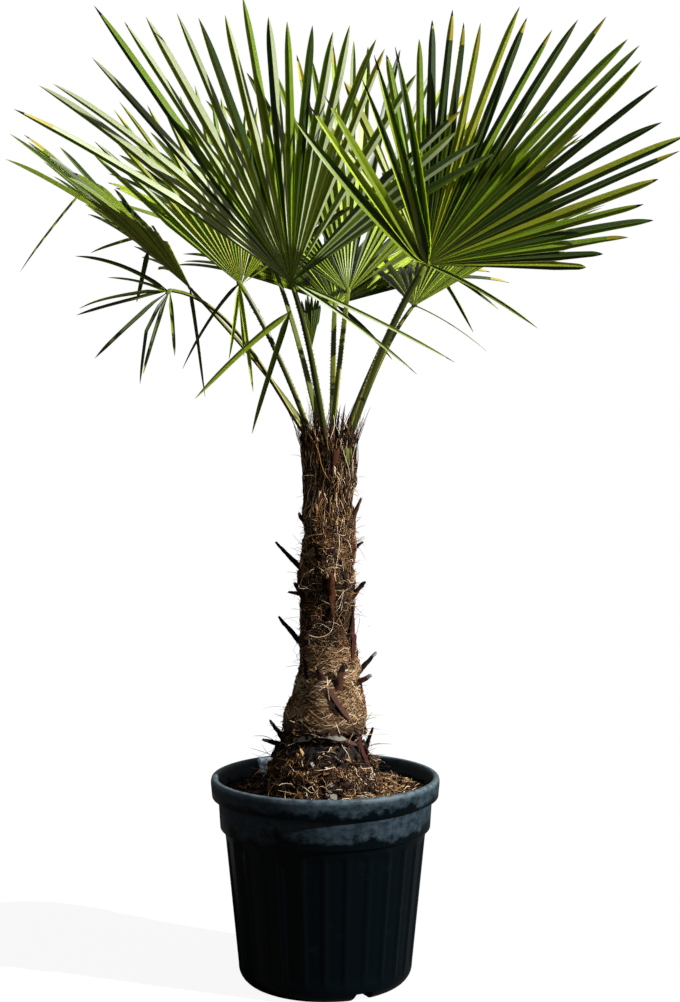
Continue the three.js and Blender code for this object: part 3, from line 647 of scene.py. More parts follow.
def trunk_radius(z, bearing):
    """The source's radius: profile + SHEATH_STEP (place within the sheath - 1/2) + lumps in 3 and 5
    waves."""
    share = (z - TRUNK_FOOT) / (TRUNK_TOP - TRUNK_FOOT)
    lumps = np.sin(bearing * 3 + z / 47) + np.sin(bearing * 5 - z / 31) * 0.6
    return profile(z, 1) + SHEATH_STEP * ((share * SHEATH_RINGS) % 1 - 0.5) + TRUNK_LUMPS * lumps


def fine_radius(z, bearing):
    """The source's radius with its relief: torn sheath edges that lie over each other, crossed ridges of
    fibre (1 - |2 noise - 1| along two slants), upright ridges above, and clods of loose root below."""
    turn = bearing / TAU
    front = 0.5 - 0.5 * np.cos(bearing - math.radians(95))
    edge = LIP + 9 * noise(turn * 18, 0.3, 11, 18) - 14 * (noise(turn * 5, 0.5, 12, 5) - 0.5)
    lip = LIP_PROUD * ease(edge - 2, edge + 6, z) * ease(edge + 60, edge + 20, z)
    lip = lip - LIP_UNDERCUT * ease(edge - 42, edge - 16, z) * ease(edge + 1, edge - 5, z)
    second = LAP + 18 * (noise(turn * 6, 0.7, 13, 6) - 0.5) - 14 * np.cos(bearing - math.radians(-130))
    lap = LAP_PROUD * ease(second + 4, second - 6, z) * ease(second - 60, second - 10, z)
    upright = ease(*UPRIGHT, z)
    slant_a = noise(turn * 60 + z / 16, turn * 90 - z / 3.4, 14, 60, 90)
    slant_b = noise(turn * 60 - z / 16, turn * 90 + z / 3.4, 15, 60, 90)
    crossed = (1 - np.abs(2 * slant_a - 1)) + (1 - np.abs(2 * slant_b - 1))
    straight = noise(turn * 110, z / 60, 16, 110)
    roots = ease(*ROOTS, z)
    clods = noise(turn * 34, z / 9, 17, 34) + 0.6 * noise(turn * 80, z / 4.5, 18, 80)
    rough = (1 - upright) * (1 - roots) * 1.7 * crossed + upright * 4.2 * straight
    rough = rough + roots * 10 * (clods - 0.45)
    dents = 4 * (noise(turn * 14, z / 30, 19, 14) - 0.5) + 9 * (noise(turn * 6, z / 38, 20, 6) - 0.5)
    return trunk_radius(z, bearing) - 3 + (lip * (0.35 + 0.65 * front)) + lap + rough + dents


def trunk_point(z, bearing, lift=0.0):
    """The point at height z and bearing, lift mm outside the fine surface."""
    r = fine_radius(z, bearing) + lift
    return np.stack([r * np.cos(bearing) + profile(z, 2), r * np.sin(bearing), z + 0 * bearing], axis=-1)


def make_trunk(felt):
    """Rings of the fine surface, drawn in by half toward the middle as the top rounds over."""
    heights = np.concatenate([
        np.linspace(396, SHOULDER, 372), SHOULDER + 12 * np.sin(np.linspace(0.15, 1.5, 8)),
    ])
    bearing = np.linspace(0, TAU, 250, endpoint=False)[None]
    rings = trunk_point(heights[:, None] + 0 * bearing, bearing + 0 * heights[:, None])
    inward = ease(SHOULDER, TRUNK_TOP + 4, heights)[:, None, None] * 0.5
    rings[..., :2] = rings[..., :2] * (1 - inward) + np.array([-2, 0]) * inward
    body = Mass()
    body.add(loft(rings[None], poles=True))
    body.make("trunk_felt", [felt], "trunk_fibre", ["trunk"])


# ---- hairs and strips of fibre ----

def hairs(paths, radius, out, sides=3):
    """Tapering tubes along paths (hairs, steps, 3): ring = path + radius (cos a first + sin a second), where
    first is across the path and second is across both. out is any direction that no path runs along."""
    ahead = unit(np.gradient(paths, axis=1))
    first = unit(np.cross(ahead, out))
    second = np.cross(ahead, first)
    angle = np.arange(sides) * TAU / sides
    steps = paths.shape[1]
    taper = np.sin(np.linspace(0.25, math.pi - 0.12, steps)) ** 0.5
    reach = (radius[:, None] * taper)[..., None, None]
    rings = paths[:, :, None] + reach * (
        first[:, :, None] * np.cos(angle)[:, None] + second[:, :, None] * np.sin(angle)[:, None]
    )
    return loft(rings)


def deal(rng, count, weights):
    """A colour number for each hair, drawn by the weights."""
    weights = np.array(weights, float)
    return rng.choice(len(weights), count, p=weights / weights.sum())


def lying_hairs(rng, count, heights, slant, length, waves, lift, radius, steps=8):
    """Hairs that lie on the trunk: height and bearing run straight at a slant, with waves and a bow off the
    surface."""
    t = np.linspace(0, 1, steps)[None]
    z0, b0 = rng.uniform(*heights, (count, 1)), rng.random((count, 1)) * TAU
    angle = np.radians(rng.uniform(*slant, (count, 1)))
    size = rng.uniform(*length, (count, 1))
    phase = rng.random((count, 2, 1)) * TAU
    wave = waves * size * (np.sin(TAU * t * rng.uniform(0.4, 1.3, (count, 1)) + phase[:, 0]))
    around = profile(z0, 1)
    z = z0 + size * (t - 0.5) * np.sin(angle) + wave * np.cos(angle)
    b = b0 + (size * (t - 0.5) * np.cos(angle) - wave * np.sin(angle)) / around
    z = np.clip(z, 400, TRUNK_TOP - 8)
    bow = rng.uniform(*lift, (count, 1)) * np.sin(math.pi * t) + 0.3
    bow = bow + 0.5 * np.sin(TAU * t * 2 + phase[:, 1])
    paths = trunk_point(z, b, bow)
    out = np.stack([np.cos(b), np.sin(b), 0.12 + 0 * b], axis=-1)
    return hairs(paths, rng.uniform(*radius, count), out)


def stray_hairs(rng, count, heights, length, radius, droop):
    """Hairs that leave the trunk: root + length (t out + t^2 (sideways, and down by droop))."""
    t = np.linspace(0, 1, 9)[None, :, None]
    z0, b0 = rng.uniform(*heights, count), rng.random(count) * TAU
    root = trunk_point(z0, b0, -2.0)
    out = np.stack([np.cos(b0), np.sin(b0), rng.uniform(-0.3, 1.1, count)], axis=-1)
    side = np.stack([-np.sin(b0), np.cos(b0), 0 * b0], axis=-1)
    start = out * rng.uniform(0.25, 0.8, (count, 1)) + side * rng.normal(0, 0.8, (count, 1))
    start = unit(start + (0, 0, 0.25))
    bend = rng.normal(0, 0.55, (count, 3)) + (0, 0, -droop)
    size = rng.uniform(*length, (count, 1))
    turns = TAU * t * rng.uniform(0.6, 1.6, (count, 1, 1)) + rng.random((count, 1, 1)) * TAU
    curl = 0.13 * np.sin(turns) * side[:, None]
    paths = root[:, None] + size[:, None] * (t * start[:, None] + t * t * bend[:, None] * 0.6 + curl * t)
    across = unit(rng.normal(size=(count, 1, 3)) + side[:, None] * 2)
    return hairs(paths, rng.uniform(*radius, count), across)


def crown_hairs(rng, count, start, reach):
    """Upright hairs round the stalks' feet: they start on the trunk's shoulder, rise past its top, and
    lean out or in by how far they have climbed over it."""
    t = np.linspace(0, 1, 9)[None]
    b = rng.random((count, 1)) * TAU
    z0 = rng.uniform(*start, (count, 1))
    size = rng.beta(1.6, 2.6, (count, 1)) * (reach - z0) + 12
    shoulder = trunk_point(z0[:, 0], b[:, 0], 0.5)
    out = np.stack([np.cos(b[:, 0]), np.sin(b[:, 0]), 0 * b[:, 0]], axis=-1)
    side = np.stack([-np.sin(b[:, 0]), np.cos(b[:, 0]), 0 * b[:, 0]], axis=-1)
    inward = rng.uniform(-0.5, 0.55, (count, 1))
    lean = rng.normal(0, 0.16, (count, 1))
    wave = 0.04 * np.sin(TAU * t * 1.1 + rng.random((count, 1)) * TAU)
    climb = np.clip(z0 + size * t - (TRUNK_TOP - 7), 0, None)
    paths = shoulder[:, None] + out[:, None] * (climb * inward + 2.0 * np.sin(math.pi * t))[..., None]
    paths = paths + side[:, None] * (size * (lean * t + wave))[..., None]
    paths[..., 2] = z0 + size * t
    return hairs(paths, rng.uniform(0.5, 1.1, count), out[:, None] + (0, 0, 0.05))


# Long loose straws that lie on the trunk: heights and bearings along each.
LONG_HAIRS = [
    [(996, -53), (898, -69), (835, -86), (790, -80), (762, -73), (735, -94), (738, -129), (752, -144)],
    [(668, -94), (610, -86), (554, -73), (502, -60), (458, -50)],
    [(490, -114), (450, -104), (410, -92)],
    [(905, -60), (860, -50), (800, -64), (770, -98)],
    [(700, -150), (676, -120), (662, -96)],
    [(820, 60), (760, 82), (690, 70)], [(930, 130), (850, 112), (780, 128)],
]


def long_hairs():
    """Each straw through its heights and bearings, with its corners rounded by a running mean of 7
    points."""
    t = np.linspace(0, 1, 40)
    paths = []
    for knots in LONG_HAIRS:
        z, b = (np.interp(t, np.linspace(0, 1, len(knots)), [k[n] for k in knots]) for n in (0, 1))
        z, b = (np.convolve(np.pad(v, 3, mode="edge"), np.ones(7) / 7, "valid") for v in (z, b))
        paths.append(trunk_point(z, np.radians(b), 3 + 3 * np.sin(11 * t)))
    return hairs(np.stack(paths), np.full(len(paths), 0.75), np.array([0.3, 0.2, 1.0]))


def make_fibre(rng):
    """Four pieces of hairs. Crown hairs have a number, the heights they start at and reach; lying hairs a
    number, heights, slants, lengths, waves, lifts and radii; stray hairs a number, heights, lengths, radii
    and droop."""
    groups = [
        # piece, colour weights from black to straw, hairs
        ("fibre_crown", (4, 5, 4, 2, 2, 1), crown_hairs(rng, 420, (1040, 1120), 1230)),
        ("fibre_crown", (3, 4, 4, 2.4, 2.4, 1), crown_hairs(rng, 620, (1085, 1122), 1160)),
        ("fibre_crown", (4, 4, 4, 2.4, 2, 0.8),
         lying_hairs(rng, 1100, (965, 1120), (66, 112), (40, 130), 0.05, (0, 3), (0.45, 0.95))),
        ("fibre_felt", (2, 3, 4, 3, 2.2, 0.7),
         lying_hairs(rng, 1700, (850, 985), (-70, 75), (20, 70), 0.16, (0, 4), (0.4, 0.8))),
        ("fibre_felt", (3, 4, 3, 1.4, 1.2, 0.3),
         lying_hairs(rng, 1500, (700, 865), (-65, 65), (20, 70), 0.16, (0, 3), (0.35, 0.7))),
        ("fibre_weave", (1, 1.6, 2.8, 2.2, 3.6, 1.4),
         lying_hairs(rng, 2700, (560, 715), (-42, 42), (30, 100), 0.07, (0, 3), (0.4, 0.8))),
        ("fibre_roots", (3, 4, 4, 2, 1.8, 0.6),
         lying_hairs(rng, 900, (408, 478), (-80, 80), (15, 60), 0.18, (0, 8), (0.5, 1.1))),
        ("fibre_roots", (4, 4, 3, 2, 1.8, 0.6),
         lying_hairs(rng, 220, (478, 545), (-80, 80), (15, 50), 0.14, (0, 8), (0.5, 1.0))),
        ("fibre_roots", (1, 2, 4, 3, 3, 1), stray_hairs(rng, 120, (560, 1110), (20, 60), (0.3, 0.55), 0.75)),
        ("fibre_roots", (1, 2, 4, 3, 3, 1), stray_hairs(rng, 240, (785, 965), (10, 34), (0.35, 0.6), 0.5)),
        ("fibre_roots", (0, 0, 0, 0, 1, 1), long_hairs()),
        ("fibre_roots", (3, 3, 3, 2, 2, 0.8), stray_hairs(rng, 900, (560, 1110), (5, 18), (0.3, 0.5), 0.3)),
        ("fibre_roots", (2, 3, 3, 2, 2, 1), stray_hairs(rng, 320, (415, 560), (12, 50), (0.4, 0.8), 0.6)),
    ]
    masses = {}
    for name, weights, surface in groups:
        quads = surface[1]
        masses.setdefault(name, Mass()).add_each(surface, deal(rng, len(quads), weights))
    masses["fibre_roots"].add_each(*straws(rng, 170))
    for name, mass in masses.items():
        mass.make(name, FIBRE_FINISHES, "trunk_fibre")


# ---- old leaf bases ----

def base_stub(z, bearing_degrees, length, width, rise, rng):
    """A flattened tongue from inside the trunk: section half width x (taper), BASE_THICKNESS of it thick,
    with a torn, blunt end."""
    bearing, climb = math.radians(bearing_degrees), math.radians(rise)
    out, up = np.array([math.cos(bearing), math.sin(bearing), 0.0]), np.array([0, 0, 1.0])
    along = out * math.cos(climb) + up * math.sin(climb)
    across = np.cross(up, out)
    over = np.cross(along, across)
    root = out * (trunk_radius(z, bearing) - BASE_SUNK) + np.array([profile(z, 2), 0, z])
    t = np.linspace(0, 1, 12)[:, None]
    half = width / 2 * np.interp(t, [0, 0.3, 0.55, 0.85, 1], [1.25, 1.05, 0.84, 0.62, 0.45])
    angle = np.linspace(0, TAU, 12, endpoint=False)[None]
    bend = length * 0.10 * (rng.random() - 0.3) * t ** 2
    sway = length * 0.12 * (rng.random() - 0.5) * t ** 2
    rough = 1 + 0.16 * rng.normal(size=(12, 12)) * (0.35 + t)
    u = half * np.cos(angle) * rough + sway
    v = half * BASE_THICKNESS * np.sin(angle) * rough + bend - 0.12 * half * np.cos(angle * 2)
    reach = t * (length + BASE_SUNK) + np.where(t == 1, 6 * (rng.random((1, 12)) - 0.7), 0)
    return root + reach[..., None] * along + u[..., None] * across + v[..., None] * over


def strap_rings(z_top, bearing_top, z_end, bearing_end, width, lift, seed):
    """A torn strap that lies on the trunk. On the unrolled surface its middle runs from top to end, its
    edges are half the width away with noise, and its face stands lift mm off at the end."""
    t = np.linspace(0, 1, 22)[:, None]
    size = profile((z_top + z_end) / 2, 1)
    start = np.array([math.radians(bearing_top) * size, z_top])
    run = np.array([math.radians(bearing_end) * size, z_end]) - start
    run_across = np.array([-run[1], run[0]]) / np.linalg.norm(run)
    half = width / 2 * np.interp(t, [0, 0.15, 0.5, 0.85, 1], [0.5, 0.85, 1, 0.7, 0.25])
    u = np.array([[1, 0.6, 0, -0.6, -1, -0.6, 0, 0.6]])
    v = np.array([[0, 0.9, 0.4, 0.9, 0, -0.7, -1.2, -0.7]])
    edge = u * half * (1 + 0.45 * (noise(t * 9 + 20 * (u > 0), 0.5 + 0 * u, seed) - 0.5))
    place = start + t[..., None] * run + edge[..., None] * run_across
    bearing, z = place[..., 0] / size, place[..., 1]
    curl = 0.05 * u ** 2 * width
    r = trunk_radius(z, bearing) + 2 + lift * t ** 2 + curl + v * np.interp(t, [0, 1], [1.1, 0.7])
    return np.stack([r * np.cos(bearing) + profile(z, 2), r * np.sin(bearing), z], axis=-1)


# Dead straps of old leaf bases, two flat dark strips of painted shadow beside raised straps, and green
# strips of living sheath under three stalks: top height and bearing, end height and bearing, width, lift,
# colour.
STRAPS = [
    (812, -9, 690, -36, 15, 3, BASE_RED), (806, -18, 716, -44, 6, 3, BASE_DARK),
    # painted shadow: the flat dark strap beside the raised orange one, and on the next line the one beside the
    # raised pink one
    (862, -88, 776, -77, 9, 6, BASE_ORANGE), (866, -98, 774, -84, 16, 0, BASE_DARK),
    (668, -104, 566, -55, 11, 10, BASE_PINK), (672, -110, 570, -66, 14, 1, BASE_DARK),
    (716, -172, 640, -150, 16, 2, BASE_RED), (712, -150, 628, -128, 10, 2, BASE_DARK),
    (968, -14, 884, -22, 10, 2, BASE_RED), (900, 176, 820, 170, 16, 2, BASE_DARK),
    (955, -120, 890, -108, 8, 2, BASE_DARK), (900, -58, 838, -50, 8, 3, BASE_DARK),
    (540, -36, 468, -30, 13, 3, BASE_RED), (520, -22, 452, -18, 13, 4, BASE_DARK),
    (505, -84, 455, -82, 12, 4, BASE_DARK), (524, -128, 543, -96, 13, 4, BASE_GREY),
    (546, -104, 530, -62, 13, 5, BASE_GREY), (530, -64, 514, -44, 8, 4, BASE_PINK),
    (640, 2, 560, 6, 14, 2, BASE_ORANGE), (905, 118, 820, 120, 14, 2, BASE_RED),
    (700, 130, 610, 126, 16, 2, BASE_RED), (770, 92, 690, 90, 16, 2, BASE_DARK),
    (868, 58, 790, 56, 14, 2, BASE_ORANGE), (560, 112, 480, 108, 18, 3, BASE_DARK),
    (655, 70, 570, 74, 16, 2, BASE_RED), (1040, 120, 950, 118, 12, 1, BASE_DARK),
    (446, -82, 404, -80, 22, 8, BASE_GREY), (1166, -103, 1090, -101, 18, 0, BASE_LIVE),
    (1170, -38, 1078, -50, 21, 0, BASE_LIVE), (1160, -134, 1096, -126, 14, 0, BASE_LIVE),
    (1139, -76, 1092, -80, 12, 1, BASE_ORANGE),
]

# Dry tips of unopened leaves and sheaths between the stalks' feet: place, height, lean to the right, width,
# colour.
SPIKES = [
    (-2, -30, 96, -4, 9, BASE_ORANGE), (-14, -34, 62, -10, 8, BASE_DARK), (18, -22, 70, 8, 8, BASE_DARK),
    (30, -34, 52, 10, 8, BASE_PINK), (-32, -34, 58, -16, 8, BASE_DARK), (-40, -8, 70, -20, 9, BASE_ORANGE),
    (24, 30, 80, 8, 9, BASE_DARK), (-20, 26, 74, -8, 9, BASE_ORANGE), (-36, -26, 66, -22, 9, BASE_DARK),
    (-40, 6, 48, -24, 6, BASE_DARK), (34, -28, 84, 8, 10, BASE_RED), (50, -8, 50, 18, 8, BASE_DARK),
    (16, -40, 62, 5, 9, BASE_PINK), (-22, -40, 48, -8, 9, BASE_RED),
]


def spike_rings(x, y, height, lean, width):
    """A pointed, flattened sheath: half width x (1 - t^1.5), leaning with the square of the height."""
    t = np.linspace(-0.3, 1, 10)[:, None]
    angle = np.linspace(0, TAU, 7, endpoint=False)[None]
    half = width / 2 * np.clip(1 - np.clip(t, 0, 1) ** 1.5, 0.06, 1)
    px = x + lean * t ** 2 + half * np.cos(angle)
    py = y + 0.5 * half * np.sin(angle)
    return np.stack([px, py, TRUNK_TOP + height * t + 0 * angle], axis=-1)


# The stubs' colours, dealt out in turn.
STUB_COLOURS = [
    BASE_DARK, BASE_DARK, BASE_RED, BASE_RED, BASE_DARK, BASE_DARK, BASE_DARK, BASE_PINK, BASE_DARK,
    BASE_RED, BASE_DARK, BASE_PINK, BASE_DARK, BASE_ORANGE, BASE_PINK,
]


def make_leaf_bases(rng):
    """Stubs, straps and spikes, joined in one piece. A stub's last two rows may be grey where it broke."""
    mass = Mass()
    for k, row in enumerate(LEAF_BASES):
        colour = STUB_COLOURS[k % len(STUB_COLOURS)]
        rings = base_stub(*row, rng)
        slots = np.full(rings.shape[0] - 1, colour)
        slots[-2:] = rng.choice([BASE_DARK, BASE_DARK, BASE_GREY, colour])
        mass.add(loft(rings[None]), slots[None, :, None], slots[-1])
    for seed, (*row, colour) in enumerate(STRAPS):
        mass.add(loft(strap_rings(*row, seed)[None]), colour, colour)
    for *row, colour in SPIKES:
        mass.add(loft(spike_rings(*row)[None]), colour, colour)
    names = [f"leaf_base_{k + 1:02d}" for k in range(len(LEAF_BASES))]
    mass.make("leaf_bases", BASE_FINISHES, "leaf_base", names, fold=50)


# ---- leaf stalks ----

def blade_frame(f):
    """middle runs from the hub to the middle leaflet's tip, face is the upper side, side is across both."""
    middle = f["tip"] - f["hub"]
    reach = np.linalg.norm(middle)
    middle = middle / reach
    face = unit(f["face"] - middle * (f["face"] @ middle))
    return middle, face, np.cross(face, middle), reach


def stalk_line(f, t):
    """The source's stalk: a cubic curve (1-t)^3 a + 3t(1-t)^2 b + 3t^2(1-t) c + t^3 d, and its direction."""
    middle = blade_frame(f)[0]
    a = np.array([*f["foot"], TRUNK_TOP + GAP], float)
    d = f["hub"] - middle * 0.6
    span = np.linalg.norm(d - a)
    b = a + unit(np.array([0, 0, 1]) + (d - a) * STALK_LEAN / span) * span * STALK_RISE
    c = d - unit(unit(d - a) + middle) * span * STALK_ARRIVE
    t = t[:, None]
    place = (1 - t) ** 3 * a + 3 * t * (1 - t) ** 2 * b + 3 * t * t * (1 - t) * c + t ** 3 * d
    ahead = 3 * (1 - t) ** 2 * (b - a) + 6 * t * (1 - t) * (c - b) + 3 * t * t * (d - c)
    return place, unit(ahead)


def stalk_frames(f, t):
    """The stalk's middle line, its direction, and the directions across it and over it. At the foot it
    stands square to the trunk's rim and turns evenly to the blade's side. Below t = 0 it goes straight
    down, into the trunk."""
    place, ahead = stalk_line(f, np.clip(t, 0, 1))
    place = place + np.clip(t, None, 0)[:, None] * np.array([0, 0, STALK_SUNK])
    side = blade_frame(f)[2]
    out = unit(np.array([*f["foot"], 0.0]))
    foot_side = np.cross([0, 0, 1], out)
    foot_side = foot_side * (1 if foot_side @ side >= 0 else -1)
    share = np.clip(t, 0, 1)[:, None]
    across = foot_side * (1 - share) + side * share
    across = unit(across - ahead * (across * ahead).sum(-1, keepdims=True))
    return place, ahead, across, np.cross(ahead, across)


def stalk_sizes(f, t):
    """Width and depth of the section: from the foot's to the top's with the square root of t."""
    taper = np.sqrt(np.clip(t, 0, 1))[:, None]
    width = (STALK_FOOT[0] + (STALK_TOP[0] - STALK_FOOT[0]) * taper) * f["girth"]
    depth = (STALK_FOOT[1] + (STALK_TOP[1] - STALK_FOOT[1]) * taper) * f["girth"]
    return width, depth


def make_stalks(rng):
    """Stalks: a rounded section, flat or hollowed above and keeled beneath, with thin toothed margins.
    The ends are drawn in, inside the trunk and the blade."""
    mass = Mass()
    section = np.array([
        (1.0, 0.18), (0.82, 0.62), (0.45, 0.72), (0, 0.6), (-0.45, 0.72), (-0.82, 0.62), (-1.0, 0.18),
        (-0.85, -0.25), (-0.55, -0.72), (-0.2, -0.98), (0.2, -0.98), (0.55, -0.72), (0.85, -0.25),
    ])
    side_slots = np.array(
        [STALK_MARGIN] + [STALK_SKIN] * 4 + [STALK_MARGIN] * 2 + [STALK_BACK] * 5 + [STALK_MARGIN],
    )
    for f in FRONDS:
        t = np.concatenate([[-0.12, -0.06], np.linspace(0, 0.985, 44), [1.0]])
        place, _, across, over = stalk_frames(f, t)
        width, depth = stalk_sizes(f, t)
        for size in (width, depth):
            size[0] *= 0.6
            size[-1] *= 0.5
        u, v = section[:, 0] * width / 2, section[:, 1] * depth / 2
        rings = place[:, None] + u[..., None] * across[:, None] + v[..., None] * over[:, None]
        slots = np.broadcast_to(side_slots, (len(t) - 1, len(section))).copy()
        slots[t[:-1] < 0.05 + 0.05 * rng.random()] = STALK_FOOT_BROWN
        slots[-3:] = STALK_CREST
        mass.add(loft(rings[None]), slots[None], STALK_FOOT_BROWN)
        add_teeth(mass, f, rng)
        add_crest(mass, f)
    names = [f"stalk_{f['name']}" for f in FRONDS]
    mass.make("leaf_stalks", STALK_FINISHES, "leaf_stalk", names, fold=50)


def add_teeth(mass, f, rng):
    """Small three-sided teeth along both margins, 1 to 2 mm long and about 9 mm apart."""
    count = TEETH
    t = (np.arange(count) + rng.random(count) * 0.6) / count * 0.8 + 0.08
    place, ahead, across, over = stalk_frames(f, t)
    width, depth = stalk_sizes(f, t)
    for hand in (-1, 1):
        root = place + across * (width / 2 * 0.95) * hand + over * depth * 0.09
        size = rng.uniform(0.9, 1.8, (count, 1))
        base = np.stack([root - ahead * size, root + over * size * 0.7 * hand, root + ahead * size], axis=1)
        tip = root + across * hand * size * 1.5 + ahead * size * 0.4
        tips = tip[:, None] + (base - base.mean(axis=1, keepdims=True)) * 0.08
        mass.add(loft(np.stack([base, tips], axis=1)), STALK_MARGIN, STALK_MARGIN)


def add_crest(mass, f):
    """The small rounded crest where the leaflets meet: a half-round button on each face of the blade."""
    middle, face, side, _ = blade_frame(f)
    slim = 0.5 if f["leaflets"] < 10 else 1.0
    t = np.linspace(0, math.pi, 9)[:, None]
    angle = np.linspace(0, TAU, 12, endpoint=False)[None]
    u, v, w = 6 * np.sin(t) * np.cos(angle), 3.4 * np.sin(t) * np.sin(angle), -9 * np.cos(t) + 0 * angle
    centre = f["hub"] + middle * 3
    rings = centre + slim * (u[..., None] * side + v[..., None] * face + w[..., None] * middle)
    mass.add(loft(rings[None, 1:-1], poles=True), STALK_CREST, STALK_CREST)


# ---- fan blades ----

def blade_point(f, r, phi):
    """hub + middle r cos phi + side r sin phi + face r cup sin^2 phi
    - up sag r (r / reach)^2 (1 + 2 sin^2 phi)."""
    middle, face, side, reach = blade_frame(f)
    r, phi = (x[..., None] for x in np.broadcast_arrays(r, phi))
    lateral = np.sin(phi) ** 2
    hang = f["sag"] * r * (r / reach) ** 2 * (1 + 2 * lateral)
    return (f["hub"] + middle * r * np.cos(phi) + side * r * np.sin(phi) + face * r * f["cup"] * lateral
            - hang * np.array([0, 0, 1.0]))


def looks(
    above, left, right, yellow=0.15, dry=0.4, missing=(0, 0), beyond=35, slim=0.85, proud=0, twist=0,
):
    return dict(
        above=above, left=left, right=right, yellow=yellow, dry=dry, missing=missing, beyond=beyond,
        slim=slim, proud=proud, twist=twist,
    )


# How each fan looks: weights of deep, green and fresh skin above, weights of deep, green, pale, olive and
# straw skin under the left and the right half of a leaflet, share of leaflets with yellow tips, share
# with dry ends, share that is missing on the left and right beyond so many degrees, how wide its leaflets
# are beside their room, the share that stands proud of the fan beneath, and how far in radians each
# leaflet turns about its rib beyond the joined part. On front_left and left the pale skin beneath goes to
# the right halves, which face the lamp, as a painted highlight, and the left halves are kept darker, as
# painted shade.
LOOKS = {
    # painted highlight and shade: pale right halves beneath, toward the lamp; darker left halves
    "front_left": looks((3, 4, 4), (4, 6, 0, 3), (1, 2, 8, 0), 0.06, 0.3, (0.45, 0), 40, 1.02, proud=0.5),
    "front_right": looks((3, 4, 4), (3, 6, 0, 5), (5, 5, 0, 5), 0.45, 0.5, (0, 0.5), 45, 1.0),
    "far_left": looks((8, 4, 0), (0, 2, 0, 4, 5), (0, 2, 0, 4, 5), 0.3, 0.5, twist=-0.75),
    # painted highlight: pale skin only on the right halves beneath, toward the lamp
    "left": looks((1, 3, 7), (1, 4, 0, 7), (0, 4, 2, 6), 0.15, 0.3, (0.2, 0)),
    "centre": looks((4, 5, 2), (3, 4, 1, 2), (3, 4, 1, 2), 0.15, 0.3, (0.15, 0.15), 0, 0.9),
    "right": looks((4, 5, 1), (4, 4, 0, 2), (4, 4, 1, 1)),
    "back_left": looks((3, 4, 3), (2, 4, 1, 3), (2, 4, 1, 3)),
    "back_right": looks((3, 4, 3), (2, 4, 1, 3), (2, 4, 1, 3)),
    "back": looks((4, 4, 2), (4, 4, 1, 2), (4, 4, 1, 2)),
    "low_left": looks((4, 4, 2), (4, 5, 0, 2), (4, 5, 0, 2), 0.1, 0.7, (0.3, 0.35), 0, 0.55),
    "young": looks((6, 2, 0), (5, 3, 0, 0), (5, 3, 0, 0), 0, 0.2, slim=2.8),
}

# Leaflets that are creased and hang: blade, leaflet, share of its length at the crease, direction after it.
CREASED = [
    ("far_left", 5, 0.74, (-0.9, -0.1, -0.25)), ("far_left", 14, 0.6, (-0.62, -0.2, -0.75)),
    ("low_left", 7, 0.5, (-0.15, 0.05, -1)),
]

# Leaflets that have slipped out of their fans: blade, where one starts (the hub where that is None),
# where it ends, its width, and how far it bows on its way: up, or along a vector. Six of front_right lean
# across in front of front_left, and the rest hang at the edges.
SLIPPED = [
    ("far_left", None, (-252, 45, 1231), 10, 14), ("low_left", None, (-515, 0, 1522), 10, 16),
    ("low_left", None, (-447, -10, 1478), 8, 8),
    ("front_right", None, (-55, -373, 1756), 25, (11, -81, -38)),
    ("front_right", None, (-28, -379, 1783), 22, (11, -81, -38)),
    ("front_right", None, (2, -379, 1798), 24, (11, -81, -38)),
    ("front_right", None, (71, -379, 1830), 22, (11, -81, -38)),
    ("front_right", None, (94, -389, 1871), 22, (12, -90, -42)),
    ("front_right", None, (133, -386, 1886), 20, (12, -90, -42)),
    ("front_left", None, (262, -100, 1304), 9, 6), ("front_left", None, (185, -120, 1280), 9, 8),
    ("front_left", (-66, -186, 1405), (-259, -150, 1231), 15, 10),
    ("front_left", (-66, -186, 1405), (-145, -150, 1161), 15, 4),
    ("front_right", None, (435, -50, 1373), 10, 10), ("front_right", None, (357, -20, 1412), 8, 8),
    ("right", None, (334, 0, 1327), 3, 8), ("left", None, (-198, -20, 1310), 12, 6),
    ("left", None, (-168, 0, 1316), 8, 10), ("left", None, (-147, -44, 1242), 11, 8),
    ("far_left", (-372, 66, 1536), (-396, 60, 1430), 12, 0), ("left", None, (-300, 60, 1290), 9, 16),
    ("back", None, (150, 420, 1310), 10, 10), ("back_right", None, (330, 330, 1370), 10, 10),
]

# A leaflet's section, as share of its half width and side of the sheet, and the side of the rib that each
# of its points at the middle is on.
SECTION = np.array([
    (1, 0), (0.55, 1), (0, 1), (0, 1), (-0.55, 1), (-1, 0), (-0.55, -1), (0, -1), (0, -1), (0.55, -1),
])
RIB_SIGN = np.array([0, 0, 1, -1, 0, 0, 0, -1, 1, 0])
# The section's edges that are the skin above, and those under the left and the right half.
ABOVE_EDGES, LEFT_EDGES, RIGHT_EDGES = ((0, 1), (3, 4)), (5, 6), (8, 9)
HALF_THICKNESS, KEEL, RIB_HALF = 0.35, 1.8, 0.4
FOLD_FREE, FOLD_JOINED = 0.62, 0.35
BLADE_ROWS, JOINED_ROWS, SLIPPED_ROWS = 26, 8, 20
# How unevenly the leaflets hang: spread of sway, lift and roll, and the scale of the nod.
SWAY, LIFT, ROLL, NOD = 0.026, 0.08, 0.25, 0.01


